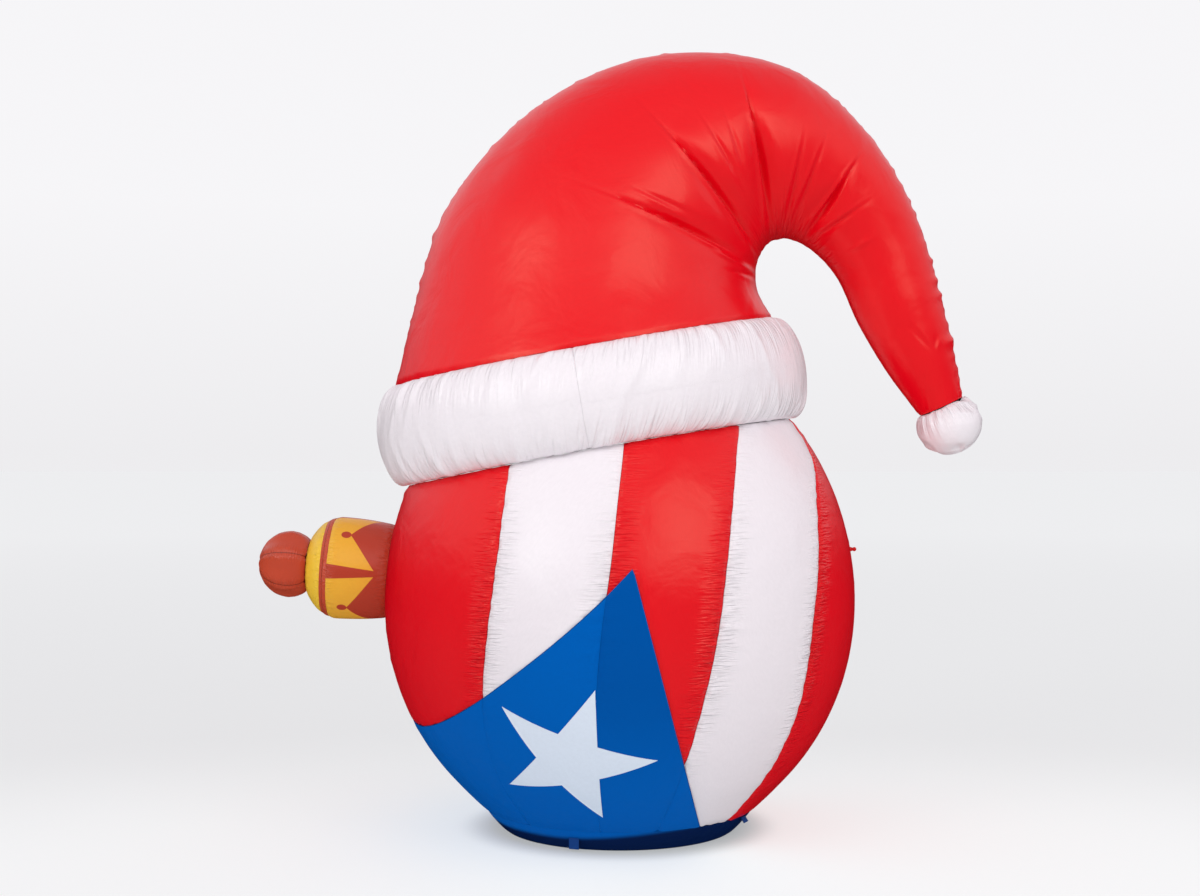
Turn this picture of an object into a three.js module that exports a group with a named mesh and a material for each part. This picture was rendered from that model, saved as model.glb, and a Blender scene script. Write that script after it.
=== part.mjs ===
// Inflatable christmas ball, blown up: a ball of sewn gores with a flag's stripes, triangle and star, a cap
// and finial on its left side, and a floppy hat with a puffed brim and a pompom.
// Millimetres. +Z is up, +X to the right and -Y to the front. The origin is the middle of the base, on the
// ground. Every piece is a thin sheet of cloth, and sewn neighbours lie a small gap apart.
import * as THREE from 'three';
import { mergeVertices } from 'three/addons/utils/BufferGeometryUtils.js';

const CLOTH = 2;
const GAP = 0.3;

const RED = 0xe8302f;
const WHITE = 0xf2f1f4;
const BLUE = 0x0355ac;
const NAVY = 0x0a2a6b;
const YELLOW = 0xf4b544;
const BROWN = 0xa83f2c;

// The ball is two half ellipsoids that meet at its waist, a little wider where it sags onto its base.
const ball = { radius: 545, waist: 530, below: 578, above: 618, base: 50, puff: 5, sag: 11, sagFrom: 130 };

// Longitude of each upright seam in degrees from the front, read at these heights.
const seamHeights = [50, 300, 500, 650, 780, 880, 960];
const seams = [
  { name: 'left side', lon: [-90, -90, -90, -90, -90, -90, -90] },
  { name: 'red to white', lon: [-40, -35.5, -31, -29.2, -29.5, -31, -32] },
  { name: 'white to red', lon: [-8, -6.4, -4.5, -2.4, -0.9, 0.5, 1.5] },
  { name: 'red to white', lon: [14.8, 18.2, 21.5, 24.3, 28.2, 33.6, 41] },
  { name: 'white to red', lon: [50, 49.2, 49.5, 53.7, 60.8, 74, 80] },
  { name: 'right side', lon: [90, 90, 90, 90, 90, 90, 90] },
];

// Gores from left to right, each between two neighbouring seams.
const gores = [
  { name: 'red_left', colour: RED, columns: 8 },
  { name: 'white_left', colour: WHITE, columns: 4 },
  { name: 'red_middle', colour: RED, columns: 5 },
  { name: 'white_right', colour: WHITE, columns: 5 },
  { name: 'red_right', colour: RED, columns: 4 },
];
const UPPER_ROWS = 9;
const BLUE_ROWS = 4;

// The blue triangle: from its apex one edge curves down to the left until it runs level, and the other
// falls in a straight line to the right.
const triangle = { apexLon: 2.4, apexHeight: 639, levelLon: -72, levelHeight: 260, rightSlope: 0.26 };
const BLUE_END = 3;
const BLUE_SPLIT = 3;
const BLUE_TAIL = 0.02;
const EDGE_STEP = 0.05;

const star = { lon: -13.25, height: 229, radius: 190, turn: 68, inner: 0.385, lift: 1.2, cloth: 1 };

// The brim runs between a ring on the ball and a ring on the hat, both tilted up to the right. At the front
// and the back the lower ring arches up and the top ring dips.
const brim = {
  lowTilt: 9.9, lowHeight: 883, lowX: -47, lowArch: 11,
  topTilt: 10.3, topHeight: 1104, topX: -82, topRadius: 447, topDip: 6,
  bulge: 57, seamTurn: -2.5, columns: 18, rows: 6,
};

// Ribs of the hat from the brim to the tip: where the outer seam and the inner seam pass, and how deep the
// hat is as a share of its width.
const ribs = [
  { outer: [-521.8, 1024.1], inner: [357.8, 1183.9], depth: 1.0 },
  { outer: [-479, 1209], inner: [324, 1248], depth: 1.0 },
  { outer: [-408, 1433], inner: [320, 1300], depth: 1.0 },
  { outer: [-247, 1635], inner: [327, 1328], depth: 1.02 },
  { outer: [-31, 1767], inner: [338, 1350], depth: 1.06 },
  { outer: [188, 1806], inner: [355, 1368], depth: 1.1 },
  { outer: [398, 1768], inner: [378, 1377], depth: 1.1 },
  { outer: [546, 1658], inner: [410, 1374], depth: 1.08 },
  { outer: [650, 1520], inner: [455, 1349], depth: 1.04 },
  { outer: [713, 1378], inner: [510, 1290], depth: 1.0 },
  { outer: [755, 1230], inner: [565, 1173], depth: 1.0 },
  { outer: [783, 1118], inner: [635, 1056], depth: 1.0 },
  { outer: [805, 1004], inner: [708, 959], depth: 1.0 },
];
const HAT_ROWS = 22;
const HAT_COLUMNS = 13;
const HAT_LIFT = 1;
const HAT_SETTLE = 0.2;

// Main creases of the hat, from the inner bend outwards: ends in X and Z, depth and half width. Each is
// deepest part of the way along and fades from there.
const creaseDeepest = 0.4;
const creaseFade = 0.35;
const creases = [
  { from: [315, 1332], to: [101, 1581], depth: 16, width: 26 },
  { from: [347, 1373], to: [290, 1662], depth: 20, width: 24 },
  { from: [274, 1312], to: [10, 1416], depth: 14, width: 24 },
  { from: [437, 1380], to: [521, 1507], depth: 12, width: 20 },
];

const pompom = { across: 77, along: 68, columns: 12, rows: 7 };

// The cap's axis starts on the ball's left wall and points left and a little up.
const cap = { x: -541, height: 594.8, rise: 4, root: 110, widest: 119, wideAt: 111, dome: 89 };
const capBand = { start: 131, end: 148 };
const NECK = 60;
const CAP_COLUMNS = 16;
const finial = { across: 77.5, along: 72, gores: 6, firstSeam: 24, pull: 0.05 };

// The base panel has flat facets, turned so that each stake tab lies on the middle of one.
const base = { foot: 268, rows: 4, facets: 30, turn: -2 };
const stakeTab = { width: 23, thick: 3 };
const stakeTabs = [
  { name: 'stake_tab_front', lon: -20, top: 31, length: 25, flare: 0 },
  { name: 'stake_tab_right', lon: 64, top: 45, length: 14, flare: 35 },
];
const tether = { height: 646, wide: 15, neck: 6, reach: 13, knot: 5, thick: 3 };

const FINE = 1e-4;
const rad = THREE.MathUtils.degToRad;
const lerp = THREE.MathUtils.lerp;
const vec = (x, y, z) => new THREE.Vector3(x, y, z);

// count + 1 evenly spaced values from a to b.
const steps = (a, b, count) => Array.from({ length: count + 1 }, (_, i) => lerp(a, b, i / count));

function bisect(f, low, high) {
  const sign = Math.sign(f(low));
  let [a, b] = [low, high];
  for (let i = 0; i < 50; i += 1) {
    const middle = (a + b) / 2;
    if (Math.sign(f(middle)) === sign) a = middle;
    else b = middle;
  }
  return (a + b) / 2;
}

// Smooth curve through values given at rising places.
function smooth(places, values, at) {
  const last = places.length - 1;
  const x = THREE.MathUtils.clamp(at, places[0], places[last]);
  let i = 0;
  while (i < last - 1 && x > places[i + 1]) i += 1;
  const slope = (k) => {
    const a = Math.max(k - 1, 0);
    const b = Math.min(k + 1, last);
    return (values[b] - values[a]) / (places[b] - places[a]);
  };
  const span = places[i + 1] - places[i];
  const t = (x - places[i]) / span;
  const rise = values[i + 1] - values[i];
  const start = slope(i) * span;
  const end = slope(i + 1) * span;
  return values[i] + t * start + t * t * (3 * rise - 2 * start - end) + t * t * t * (start + end - 2 * rise);
}

function ballRadius(z) {
  const half = z < ball.waist ? ball.below : ball.above;
  const sag = ball.sag * (Math.max(ball.sagFrom - z, 0) / (ball.sagFrom - ball.base)) ** 2;
  return ball.radius * Math.sqrt(Math.max(1 - ((z - ball.waist) / half) ** 2, 0)) + sag;
}

const onBall = (lon, z, radius = ballRadius(z)) => vec(radius * Math.sin(lon), -radius * Math.cos(lon), z);

// Height of the brim's lower ring over one longitude of the ball's front.
function ballTop(lon) {
  const slope = Math.tan(rad(brim.lowTilt));
  const middle = brim.lowHeight + brim.lowArch * Math.cos(lon) ** 2;
  let z = middle;
  for (let i = 0; i < 12; i += 1) z = middle + slope * ballRadius(z) * Math.sin(lon);
  return z;
}

const seamLon = (k, z) => rad(smooth(seamHeights, seams[k].lon, z));

// How far the cloth of a gore puffs out between its seams.
function puffAt(share, lon, z) {
  const up = THREE.MathUtils.clamp((z - ball.base) / (ballTop(lon) - ball.base), 0, 1);
  return ball.puff * Math.sin(Math.PI * share) * Math.sqrt(Math.sin(Math.PI * up));
}

function gorePoint(k, share, z) {
  const inset = GAP / 2 / ballRadius(z);
  const lon = lerp(seamLon(k, z) + inset, seamLon(k + 1, z) - inset, share);
  return onBall(lon, z, ballRadius(z) + puffAt(share, lon, z));
}

// The front of the ball with its puff, at any longitude from the left side seam to the right one.
function ballFront(lon, z) {
  let k = 0;
  while (k < gores.length - 1 && lon > seamLon(k + 1, z)) k += 1;
  const share = (lon - seamLon(k, z)) / (seamLon(k + 1, z) - seamLon(k, z));
  return onBall(lon, z, ballRadius(z) + puffAt(share, lon, z));
}

// Positive inside the blue triangle.
function blueDepth(point) {
  const { apexLon, apexHeight, levelLon, levelHeight, rightSlope } = triangle;
  const lon = THREE.MathUtils.radToDeg(Math.atan2(point.x, -point.y));
  const climb = Math.max(lon - levelLon, 0) / (apexLon - levelLon);
  const left = lerp(levelHeight, apexHeight, climb ** 2);
  const apexX = ballRadius(apexHeight) * Math.sin(rad(apexLon));
  return Math.min(left - point.z, apexX + rightSlope * (apexHeight - point.z) - point.x);
}

function blueTop(k, share) {
  const depth = (z) => blueDepth(gorePoint(k, share, z));
  return depth(ball.base) > 0 ? bisect(depth, ball.base, triangle.apexHeight + 1) : ball.base;
}

// A closed sheet: the grid surface(u, v) outside, the same grid moved in by the thickness, and the rims.
// u runs so that u cross v points out. A wrapped sheet closes on itself along u, and where all its columns
// meet in a pole, its inner points there share their mean.
function sheet(surface, us, vs, { wrap = false, thick = CLOTH } = {}) {
  const du = (us.at(-1) - us[0]) * FINE;
  const dv = (vs.at(-1) - vs[0]) * FINE;
  const middle = (vs[0] + vs.at(-1)) / 2;
  const columns = wrap ? us.slice(0, -1) : us;
  const rows = vs.length;
  const count = columns.length;
  const outer = columns.map((u) => vs.map((v) => surface(u, v)));
  const inner = columns.map((u, i) => vs.map((v, j) => {
    const near = lerp(v, middle, 10 * FINE);
    const along = surface(u + du, near).sub(surface(u - du, near));
    const up = surface(u, near + dv).sub(surface(u, near - dv));
    return outer[i][j].clone().addScaledVector(along.cross(up).normalize(), -thick);
  }));
  [0, rows - 1].filter((j) => outer[0][j].distanceTo(outer[1][j]) < FINE).forEach((j) => {
    const mean = inner.reduce((sum, column) => sum.add(column[j]), vec(0, 0, 0)).divideScalar(count);
    inner.forEach((column) => column[j].copy(mean));
  });
  const points = [...outer.flat(), ...inner.flat()];
  const out = (i, j) => (i % count) * rows + j;
  const into = (i, j) => count * rows + out(i, j);
  const index = [];
  const quad = (a, b, c, d) => index.push(a, b, c, a, c, d);
  const spans = wrap ? count : count - 1;
  for (let i = 0; i < spans; i += 1) {
    for (let j = 0; j < rows - 1; j += 1) {
      quad(out(i, j), out(i + 1, j), out(i + 1, j + 1), out(i, j + 1));
      quad(into(i, j), into(i, j + 1), into(i + 1, j + 1), into(i + 1, j));
    }
    quad(into(i, 0), into(i + 1, 0), out(i + 1, 0), out(i, 0));
    quad(out(i, rows - 1), out(i + 1, rows - 1), into(i + 1, rows - 1), into(i, rows - 1));
  }
  if (!wrap) {
    for (let j = 0; j < rows - 1; j += 1) {
      quad(into(0, j), out(0, j), out(0, j + 1), into(0, j + 1));
      quad(out(count - 1, j), into(count - 1, j), into(count - 1, j + 1), out(count - 1, j + 1));
    }
  }
  return closed(points, index);
}

// Geometry from points and triangles, with equal points joined and flat triangles left out.
function closed(points, index) {
  const geometry = new THREE.BufferGeometry().setFromPoints(points);
  geometry.setIndex(index);
  const merged = mergeVertices(geometry, 10 * FINE);
  const corners = merged.getIndex().array;
  const kept = [];
  for (let i = 0; i < corners.length; i += 3) {
    const [a, b, c] = corners.subarray(i, i + 3);
    if (a !== b && b !== c && c !== a) kept.push(a, b, c);
  }
  merged.setIndex(kept);
  return merged;
}

// A library geometry, with its seams joined.
function closedFrom(geometry) {
  const places = geometry.getAttribute('position');
  const points = Array.from({ length: places.count }, (_, i) => vec().fromBufferAttribute(places, i));
  return closed(points, geometry.index ? [...geometry.index.array] : [...points.keys()]);
}

// The same geometry seen in the mirror of the XZ plane.
function mirrored(geometry) {
  const copy = geometry.clone();
  const places = copy.getAttribute('position');
  for (let i = 0; i < places.count; i += 1) places.setY(i, -places.getY(i));
  const corners = copy.getIndex().array;
  const turned = [];
  for (let i = 0; i < corners.length; i += 3) turned.push(corners[i], corners[i + 2], corners[i + 1]);
  copy.setIndex(turned);
  return copy;
}

const object = new THREE.Group();

function add(name, geometry, colour, roughness = 0.55) {
  const material = new THREE.MeshStandardMaterial({ color: colour, roughness, metalness: 0 });
  const mesh = new THREE.Mesh(geometry, material);
  mesh.name = name;
  object.add(mesh);
  return mesh;
}

// Gores

// Shares across a gore: even ones, with one moved onto the triangle's apex where the gore holds it, and with
// one on the end of the blue where that lies inside the gore.
function goreShares(k, reach) {
  if (reach > 0 && reach < 1) {
    return [...steps(0, reach, BLUE_SPLIT), ...steps(reach + BLUE_TAIL, 1, gores[k].columns - BLUE_SPLIT)];
  }
  const shares = steps(0, 1, gores[k].columns);
  const left = THREE.MathUtils.radToDeg(seamLon(k, triangle.apexHeight));
  const right = THREE.MathUtils.radToDeg(seamLon(k + 1, triangle.apexHeight));
  const apex = (triangle.apexLon - left) / (right - left);
  if (apex > 0 && apex < 1) {
    const near = shares.map((share) => Math.abs(share - apex));
    shares[near.indexOf(Math.min(...near))] = apex;
  }
  return shares;
}

// Share of a gore's width that the blue reaches across, from its left seam.
function blueReach(k) {
  const height = (share) => blueTop(k, share) - ball.base - BLUE_END;
  if (height(0) < 0) return 0;
  return height(1) > 0 ? 1 : bisect(height, 0, 1);
}

// Height at which a gore ends, just under the brim's lower ring.
function goreTop(k, share) {
  let z = brim.lowHeight;
  for (let i = 0; i < 12; i += 1) z = ballTop(lerp(seamLon(k, z), seamLon(k + 1, z), share));
  return z - GAP;
}

// Half of the gap across the blue's edge, measured up the gore, with the steeper side of the edge.
function edgeGap(k, share) {
  const here = gorePoint(k, share, blueTop(k, share));
  const slopes = [-EDGE_STEP, EDGE_STEP].map((step) => {
    const there = gorePoint(k, share + step, blueTop(k, share + step));
    return (there.z - here.z) / Math.hypot(there.x - here.x, there.y - here.y);
  });
  return (GAP / 2) * Math.hypot(1, ...slopes);
}

gores.forEach((gore, k) => {
  const reach = blueReach(k);
  const panel = (bottom, top) => (share, v) => gorePoint(k, share, lerp(bottom(share), top(share), v));
  const roof = (share) => goreTop(k, share);
  const floor = (share) => (reach > 0 ? blueTop(k, share) + edgeGap(k, share) : ball.base);
  const shares = goreShares(k, reach);
  const upper = sheet(panel(floor, roof), shares, steps(0, 1, UPPER_ROWS));
  add(`front_${gore.name}`, upper, gore.colour);
  add(`back_${gore.name}`, mirrored(upper), gore.colour);
  if (reach > 0) {
    const edge = (share) => blueTop(k, share) - edgeGap(k, share);
    const covered = shares.filter((share) => share <= reach);
    const lower = sheet(panel(() => ball.base, edge), covered, steps(0, 1, BLUE_ROWS));
    add(`front_blue_under_${gore.name}`, lower, BLUE);
    add(`back_blue_under_${gore.name}`, mirrored(lower), BLUE);
  }
});

// Star

// A point of the star's own flat pattern, laid on the front of the ball with a given lift.
function starPoint(across, up, lift) {
  const z = star.height;
  const lon = rad(star.lon);
  const middle = onBall(lon, z);
  const flatten = vec(1 / ball.radius ** 2, 1 / ball.radius ** 2, 1 / ball.below ** 2);
  const normal = middle.clone().sub(vec(0, 0, ball.waist)).multiply(flatten).normalize();
  const right = vec(0, 0, 1).cross(normal).normalize();
  const above = normal.clone().cross(right);
  const flat = middle.addScaledVector(right, across).addScaledVector(above, up);
  const heart = vec(0, 0, ball.waist);
  const ray = flat.sub(heart);
  const reach = Math.hypot(Math.hypot(ray.x, ray.y) / ball.radius, ray.z / ball.below);
  const landed = heart.addScaledVector(ray, 1 / reach);
  const skin = ballFront(Math.atan2(landed.x, -landed.y), landed.z);
  return skin.addScaledVector(normal, lift);
}

// Outline of the star at a turn counted in corners, from 0 at the first tip to 10 back at the same tip.
function starCorner(turn) {
  const corner = (k) => {
    const angle = rad(star.turn + 36 * k);
    const radius = star.radius * (k % 2 === 0 ? 1 : star.inner);
    return [radius * Math.cos(angle), radius * Math.sin(angle)];
  };
  const k = Math.floor(turn);
  const [from, to] = [corner(k), corner(k + 1)];
  return [lerp(from[0], to[0], turn - k), lerp(from[1], to[1], turn - k)];
}

function starSheet(turn, grow) {
  const [across, up] = starCorner(turn);
  return starPoint(across * (1 - grow), up * (1 - grow), star.lift + star.cloth);
}

const starTurns = steps(0, 10, 30);
add('star', sheet(starSheet, starTurns, steps(0, 1, 5), { wrap: true, thick: star.cloth }), WHITE);

// Base panel, a shallow pan that goes on with the ball's curve from the gores down to its flat sole.
const rim = ball.base - GAP;
const panRadius = (z) => lerp(base.foot, ballRadius(rim), z / rim);
const wall = steps(0, rim, base.rows).map((z) => [panRadius(z), z]);
const lining = wall.slice(1).map(([radius, z]) => [radius - CLOTH, z]).reverse();
const pan = [[0, 0], ...wall, ...lining, [base.foot - CLOTH, CLOTH], [0, CLOTH]]
  .map(([radius, z]) => new THREE.Vector2(radius, z));
const lathe = new THREE.LatheGeometry(pan, base.facets, rad(base.turn)).rotateX(Math.PI / 2);
lathe.deleteAttribute('normal');
lathe.deleteAttribute('uv');
add('base_panel', closedFrom(lathe), BLUE);

// Brim

// Outwards in the tilted plane of one of the brim's rings, at a turn from the front.
function brimOut(turn, tilt) {
  return vec(Math.cos(tilt) * Math.sin(turn), -Math.cos(turn), Math.sin(tilt) * Math.sin(turn));
}

// The lower ring, on the ball. The back is the front's mirror.
function brimLow(turn) {
  const wanted = Math.asin(Math.sin(turn));
  const at = (lon) => onBall(lon, ballTop(lon));
  const short = (lon) => Math.atan2(at(lon).x - brim.lowX, -at(lon).y) - wanted;
  const point = at(bisect(short, -Math.PI / 2, Math.PI / 2));
  return Math.cos(turn) < 0 ? point.setY(-point.y) : point;
}

function brimTop(turn) {
  const dip = vec(0, 0, -brim.topDip * Math.cos(turn) ** 2);
  const out = brimOut(turn, rad(brim.topTilt));
  return vec(brim.topX, 0, brim.topHeight).addScaledVector(out, brim.topRadius).add(dip);
}

// Around the brim by turn, and over its puffed band from its lower seam at -90 degrees to its top seam.
function brimPoint(turn, over) {
  const share = (1 + Math.sin(over)) / 2;
  const out = brimOut(turn, rad(lerp(brim.lowTilt, brim.topTilt, share)));
  return brimLow(turn).lerp(brimTop(turn), share).addScaledVector(out, brim.bulge * Math.cos(over));
}

const brimSlit = GAP / 2 / brim.topRadius;
const seamTurn = rad(brim.seamTurn);
const brimHalves = [
  { name: 'brim_right', from: seamTurn, to: Math.PI - seamTurn },
  { name: 'brim_left', from: Math.PI - seamTurn, to: 2 * Math.PI + seamTurn },
];
brimHalves.forEach(({ name, from, to }) => {
  const turns = steps(from + brimSlit, to - brimSlit, brim.columns);
  add(name, sheet(brimPoint, turns, steps(-Math.PI / 2, Math.PI / 2, brim.rows)), WHITE);
});

// Hat

const inXZ = ([x, z]) => vec(x, 0, z);
const outerSeam = new THREE.CatmullRomCurve3(ribs.map((rib) => inXZ(rib.outer)), false, 'centripetal');
const innerSeam = new THREE.CatmullRomCurve3(ribs.map((rib) => inXZ(rib.inner)), false, 'centripetal');
const ribPlaces = ribs.map((_, i) => i / (ribs.length - 1));

// Depth of the creases at a point of the hat, seen from the front.
function creaseAt(x, z) {
  return creases.reduce((sum, { from, to, depth, width }) => {
    const run = [to[0] - from[0], to[1] - from[1]];
    const length = Math.hypot(...run);
    const along = ((x - from[0]) * run[0] + (z - from[1]) * run[1]) / length;
    const aside = ((x - from[0]) * run[1] - (z - from[1]) * run[0]) / length;
    const fade = Math.exp(-(((along / length - creaseDeepest) / creaseFade) ** 2));
    return sum + depth * fade * Math.exp(-((aside / width) ** 2));
  }, 0);
}

// The front of the hat: down its length, and around from the outer seam to the inner one.
function hatPoint(down, round) {
  const along = THREE.MathUtils.clamp(down, 0, 1);
  const outer = outerSeam.getPoint(along);
  const inner = innerSeam.getPoint(along);
  const middle = outer.clone().lerp(inner, 0.5);
  const half = inner.clone().sub(middle);
  const depth = half.length() * smooth(ribPlaces, ribs.map((rib) => rib.depth), along);
  const point = middle.addScaledVector(half, -Math.cos(round));
  const crease = creaseAt(point.x, point.z) * Math.sin(round);
  point.y = -(depth - crease) * Math.sin(round) - GAP / 2;
  point.z -= brim.topDip * Math.sin(round) ** 2 * Math.max(1 - along / HAT_SETTLE, 0) ** 2;
  return point;
}

const hatRows = steps(0, 1, HAT_ROWS);
const hatFront = sheet((round, along) => hatPoint(along, round), steps(0, Math.PI, HAT_COLUMNS), hatRows);
hatFront.translate(0, 0, HAT_LIFT);
add('hat_front', hatFront, RED);
add('hat_back', mirrored(hatFront), RED);

// Pompom, sewn on over the hat's open tip.

const tip = { outer: inXZ(ribs.at(-1).outer), inner: inXZ(ribs.at(-1).inner) };
const tipOut = tip.outer.clone().sub(tip.inner).normalize();
const tipDown = vec(tipOut.z, 0, -tipOut.x);
const tipRadius = tip.outer.distanceTo(tip.inner) / 2;
const pompomNeck = Math.acos(tipRadius / pompom.across);
const pompomMiddle = tip.outer.clone().lerp(tip.inner, 0.5)
  .addScaledVector(tipDown, pompom.along * Math.sin(pompomNeck) + 2 * GAP)
  .add(vec(0, 0, HAT_LIFT));

function pompomPoint(turn, down) {
  const reach = pompom.across * Math.cos(down);
  return pompomMiddle.clone()
    .addScaledVector(tipDown, pompom.along * Math.sin(down))
    .addScaledVector(tipOut, reach * Math.sin(turn))
    .add(vec(0, -reach * Math.cos(turn), 0));
}

const pompomTurns = steps(0, 2 * Math.PI, pompom.columns);
const pompomDown = steps(Math.PI / 2, -pompomNeck, pompom.rows);
add('pompom', sheet(pompomPoint, pompomTurns, pompomDown, { wrap: true }), WHITE);

// Cap

const capAxis = vec(-Math.cos(rad(cap.rise)), 0, Math.sin(rad(cap.rise)));
const capUp = vec(Math.sin(rad(cap.rise)), 0, Math.cos(rad(cap.rise)));

function capRadius(along) {
  if (along < cap.wideAt) return cap.widest - (cap.widest - cap.root) * (1 - along / cap.wideAt) ** 2;
  return cap.widest * Math.sqrt(1 - ((along - cap.wideAt) / cap.dome) ** 2);
}

// A point about the cap's axis: turn is 0 at the front and grows upwards.
function aboutCap(turn, along, radius) {
  return vec(cap.x, 0, cap.height).addScaledVector(capAxis, along)
    .addScaledVector(capUp, radius * Math.sin(turn))
    .add(vec(0, -radius * Math.cos(turn), 0));
}

// Where the cap's wall meets the ball, as a distance along its axis.
function capRoot(turn) {
  const clear = (along) => {
    const { x, y, z } = aboutCap(turn, along, capRadius(along));
    const skin = ballFront(Math.atan2(x, Math.abs(y)), z);
    return Math.hypot(x, y) - Math.hypot(skin.x, skin.y) - 2 * GAP;
  };
  return bisect(clear, -100, cap.wideAt);
}

const capTurns = steps(0, 2 * Math.PI, CAP_COLUMNS);
const capPoint = (turn, along) => aboutCap(turn, along, capRadius(along));
const wallPoint = (turn, v) => capPoint(turn, lerp(capRoot(turn), capBand.start - GAP / 2, v));
add('cap_wall', sheet(wallPoint, capTurns, steps(0, 1, 4), { wrap: true }), YELLOW);
const bandRows = steps(capBand.start + GAP / 2, capBand.end - GAP / 2, 1);
add('cap_band', sheet(capPoint, capTurns, bandRows, { wrap: true }), BROWN);
const capEnd = cap.wideAt + cap.dome * Math.sqrt(1 - (NECK / cap.widest) ** 2);
const endRows = steps(capBand.end + GAP / 2, capEnd, 3);
add('cap_end', sheet(capPoint, capTurns, endRows, { wrap: true }), YELLOW);

// Finial, a ball of six gores whose open neck is sewn round the end of the cap.

const firstTurn = rad(finial.firstSeam);
const finialNeck = Math.acos(NECK / finial.across);
const finialMiddle = capEnd + GAP + finial.along * Math.sin(finialNeck);

function finialPoint(turn, along) {
  const wave = Math.cos(finial.gores * (turn - firstTurn));
  const radius = finial.across * Math.cos(along) * (1 - (finial.pull * (1 - wave)) / 2);
  return aboutCap(turn, finialMiddle + finial.along * Math.sin(along), radius);
}

const finialTurns = steps(firstTurn, firstTurn + 2 * Math.PI, 3 * finial.gores);
const finialRows = steps(-finialNeck, Math.PI / 2, 5);
add('finial', sheet(finialPoint, finialTurns, finialRows, { wrap: true }), BROWN);

// Tabs

// Short stake tabs that stand off the base seam, each flared out by its own angle.
stakeTabs.forEach(({ name, lon, top, length, flare }) => {
  const cloth = new THREE.BoxGeometry(stakeTab.width, stakeTab.thick, length);
  cloth.translate(0, -stakeTab.thick / 2, -length / 2);
  const tab = add(name, closedFrom(cloth), NAVY);
  tab.rotation.x = -rad(flare);
  const turned = new THREE.Group();
  turned.rotation.z = rad(lon);
  tab.position.set(0, -(panRadius(top) * Math.cos(Math.PI / base.facets) + 1.5 * GAP), top);
  turned.add(tab);
  object.add(turned);
});

// A tapered tab with a knotted end on the right side seam, where a guy line is tied.
const knotMiddle = tether.reach + Math.sqrt(tether.knot ** 2 - (tether.neck / 2) ** 2);
const knotTurn = Math.PI - Math.asin(tether.neck / 2 / tether.knot);
const outline = new THREE.Shape();
outline.moveTo(0, -tether.wide / 2);
outline.lineTo(tether.reach, -tether.neck / 2);
outline.absarc(knotMiddle, 0, tether.knot, -knotTurn, knotTurn, false);
outline.lineTo(0, tether.wide / 2);
const flat = { depth: tether.thick, bevelEnabled: false, curveSegments: 6 };
const webbing = new THREE.ExtrudeGeometry(outline, flat).translate(0, 0, -tether.thick / 2);
const tetherTab = add('tether_tab', closedFrom(webbing), RED);
tetherTab.rotation.x = Math.PI / 2;
tetherTab.position.set(ballRadius(tether.height) + 3 * GAP, 0, tether.height);

export default object;
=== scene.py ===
import math
import bpy
import numpy as np
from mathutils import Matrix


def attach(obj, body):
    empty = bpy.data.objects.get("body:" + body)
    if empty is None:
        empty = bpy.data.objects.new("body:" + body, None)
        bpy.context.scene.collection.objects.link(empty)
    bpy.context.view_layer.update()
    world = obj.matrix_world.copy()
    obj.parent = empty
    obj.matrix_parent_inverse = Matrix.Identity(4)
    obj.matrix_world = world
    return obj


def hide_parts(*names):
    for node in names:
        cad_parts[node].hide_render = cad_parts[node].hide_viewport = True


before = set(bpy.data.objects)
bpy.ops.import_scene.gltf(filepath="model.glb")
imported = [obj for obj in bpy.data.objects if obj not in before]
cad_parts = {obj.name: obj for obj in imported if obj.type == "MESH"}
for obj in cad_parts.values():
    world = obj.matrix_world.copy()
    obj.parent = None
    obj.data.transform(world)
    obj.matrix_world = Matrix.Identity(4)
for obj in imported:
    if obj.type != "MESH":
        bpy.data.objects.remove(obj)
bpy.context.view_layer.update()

# Inflatable christmas ball: a yard figure of thin coated polyester, kept in shape by air. It is a ball of
# sewn gores with a flag's stripes, triangle and star, a cap and finial on its left, and a floppy hat above.
# Metres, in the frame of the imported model: +Z up, +X right, -Y to the front.

# Camera. It stands level in front of the ball, a little to its left, at about half of the whole height, so
# that the whole object is in its view with room about it.
CAMERA_PLACE = (-0.045, -4.0, 0.884)
CAMERA_LENS = 51

bpy.ops.object.select_all(action="DESELECT")
bpy.ops.object.camera_add(location=CAMERA_PLACE, rotation=(math.pi / 2, 0, 0))
camera = bpy.context.object
camera.data.lens = CAMERA_LENS
bpy.context.scene.camera = camera
bpy.context.scene.view_settings.view_transform = "Standard"


# Studio. A pale matt floor runs out to a pale background, and two box lamps stand in front, left and right of
# the camera and above the hat. The room lights the cloth too: most from its walls, less from overhead, from
# behind and from the sides, so that the cloth's gloss has light and dark to show.
FLOOR_WIDTH = 120
FLOOR_SHARE = 0.42
FLOOR_GLOW = 0.76
ROOM_LIGHT = 1.30


def linear(code):
    """Linear colour of an sRGB hex value."""
    channels = [int(code[i:i + 2], 16) / 255 for i in (1, 3, 5)]
    return [c / 12.92 if c <= 0.04045 else ((c + 0.055) / 1.055) ** 2.4 for c in channels] + [1.0]


def put(tree, kind, inputs=None, **settings):
    """Adds a node. Settings are its own properties, and inputs are values or the sockets that feed it."""
    made = tree.nodes.new(kind)
    for key, value in settings.items():
        setattr(made, key, value)
    for key, value in (inputs or {}).items():
        if isinstance(value, bpy.types.NodeSocket):
            tree.links.new(value, made.inputs[key])
        else:
            made.inputs[key].default_value = value
    return made


def new_material(name):
    """An empty node material and its tree."""
    material = bpy.data.materials.new(name)
    material.use_nodes = True
    material.node_tree.nodes.clear()
    return material, material.node_tree


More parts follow.
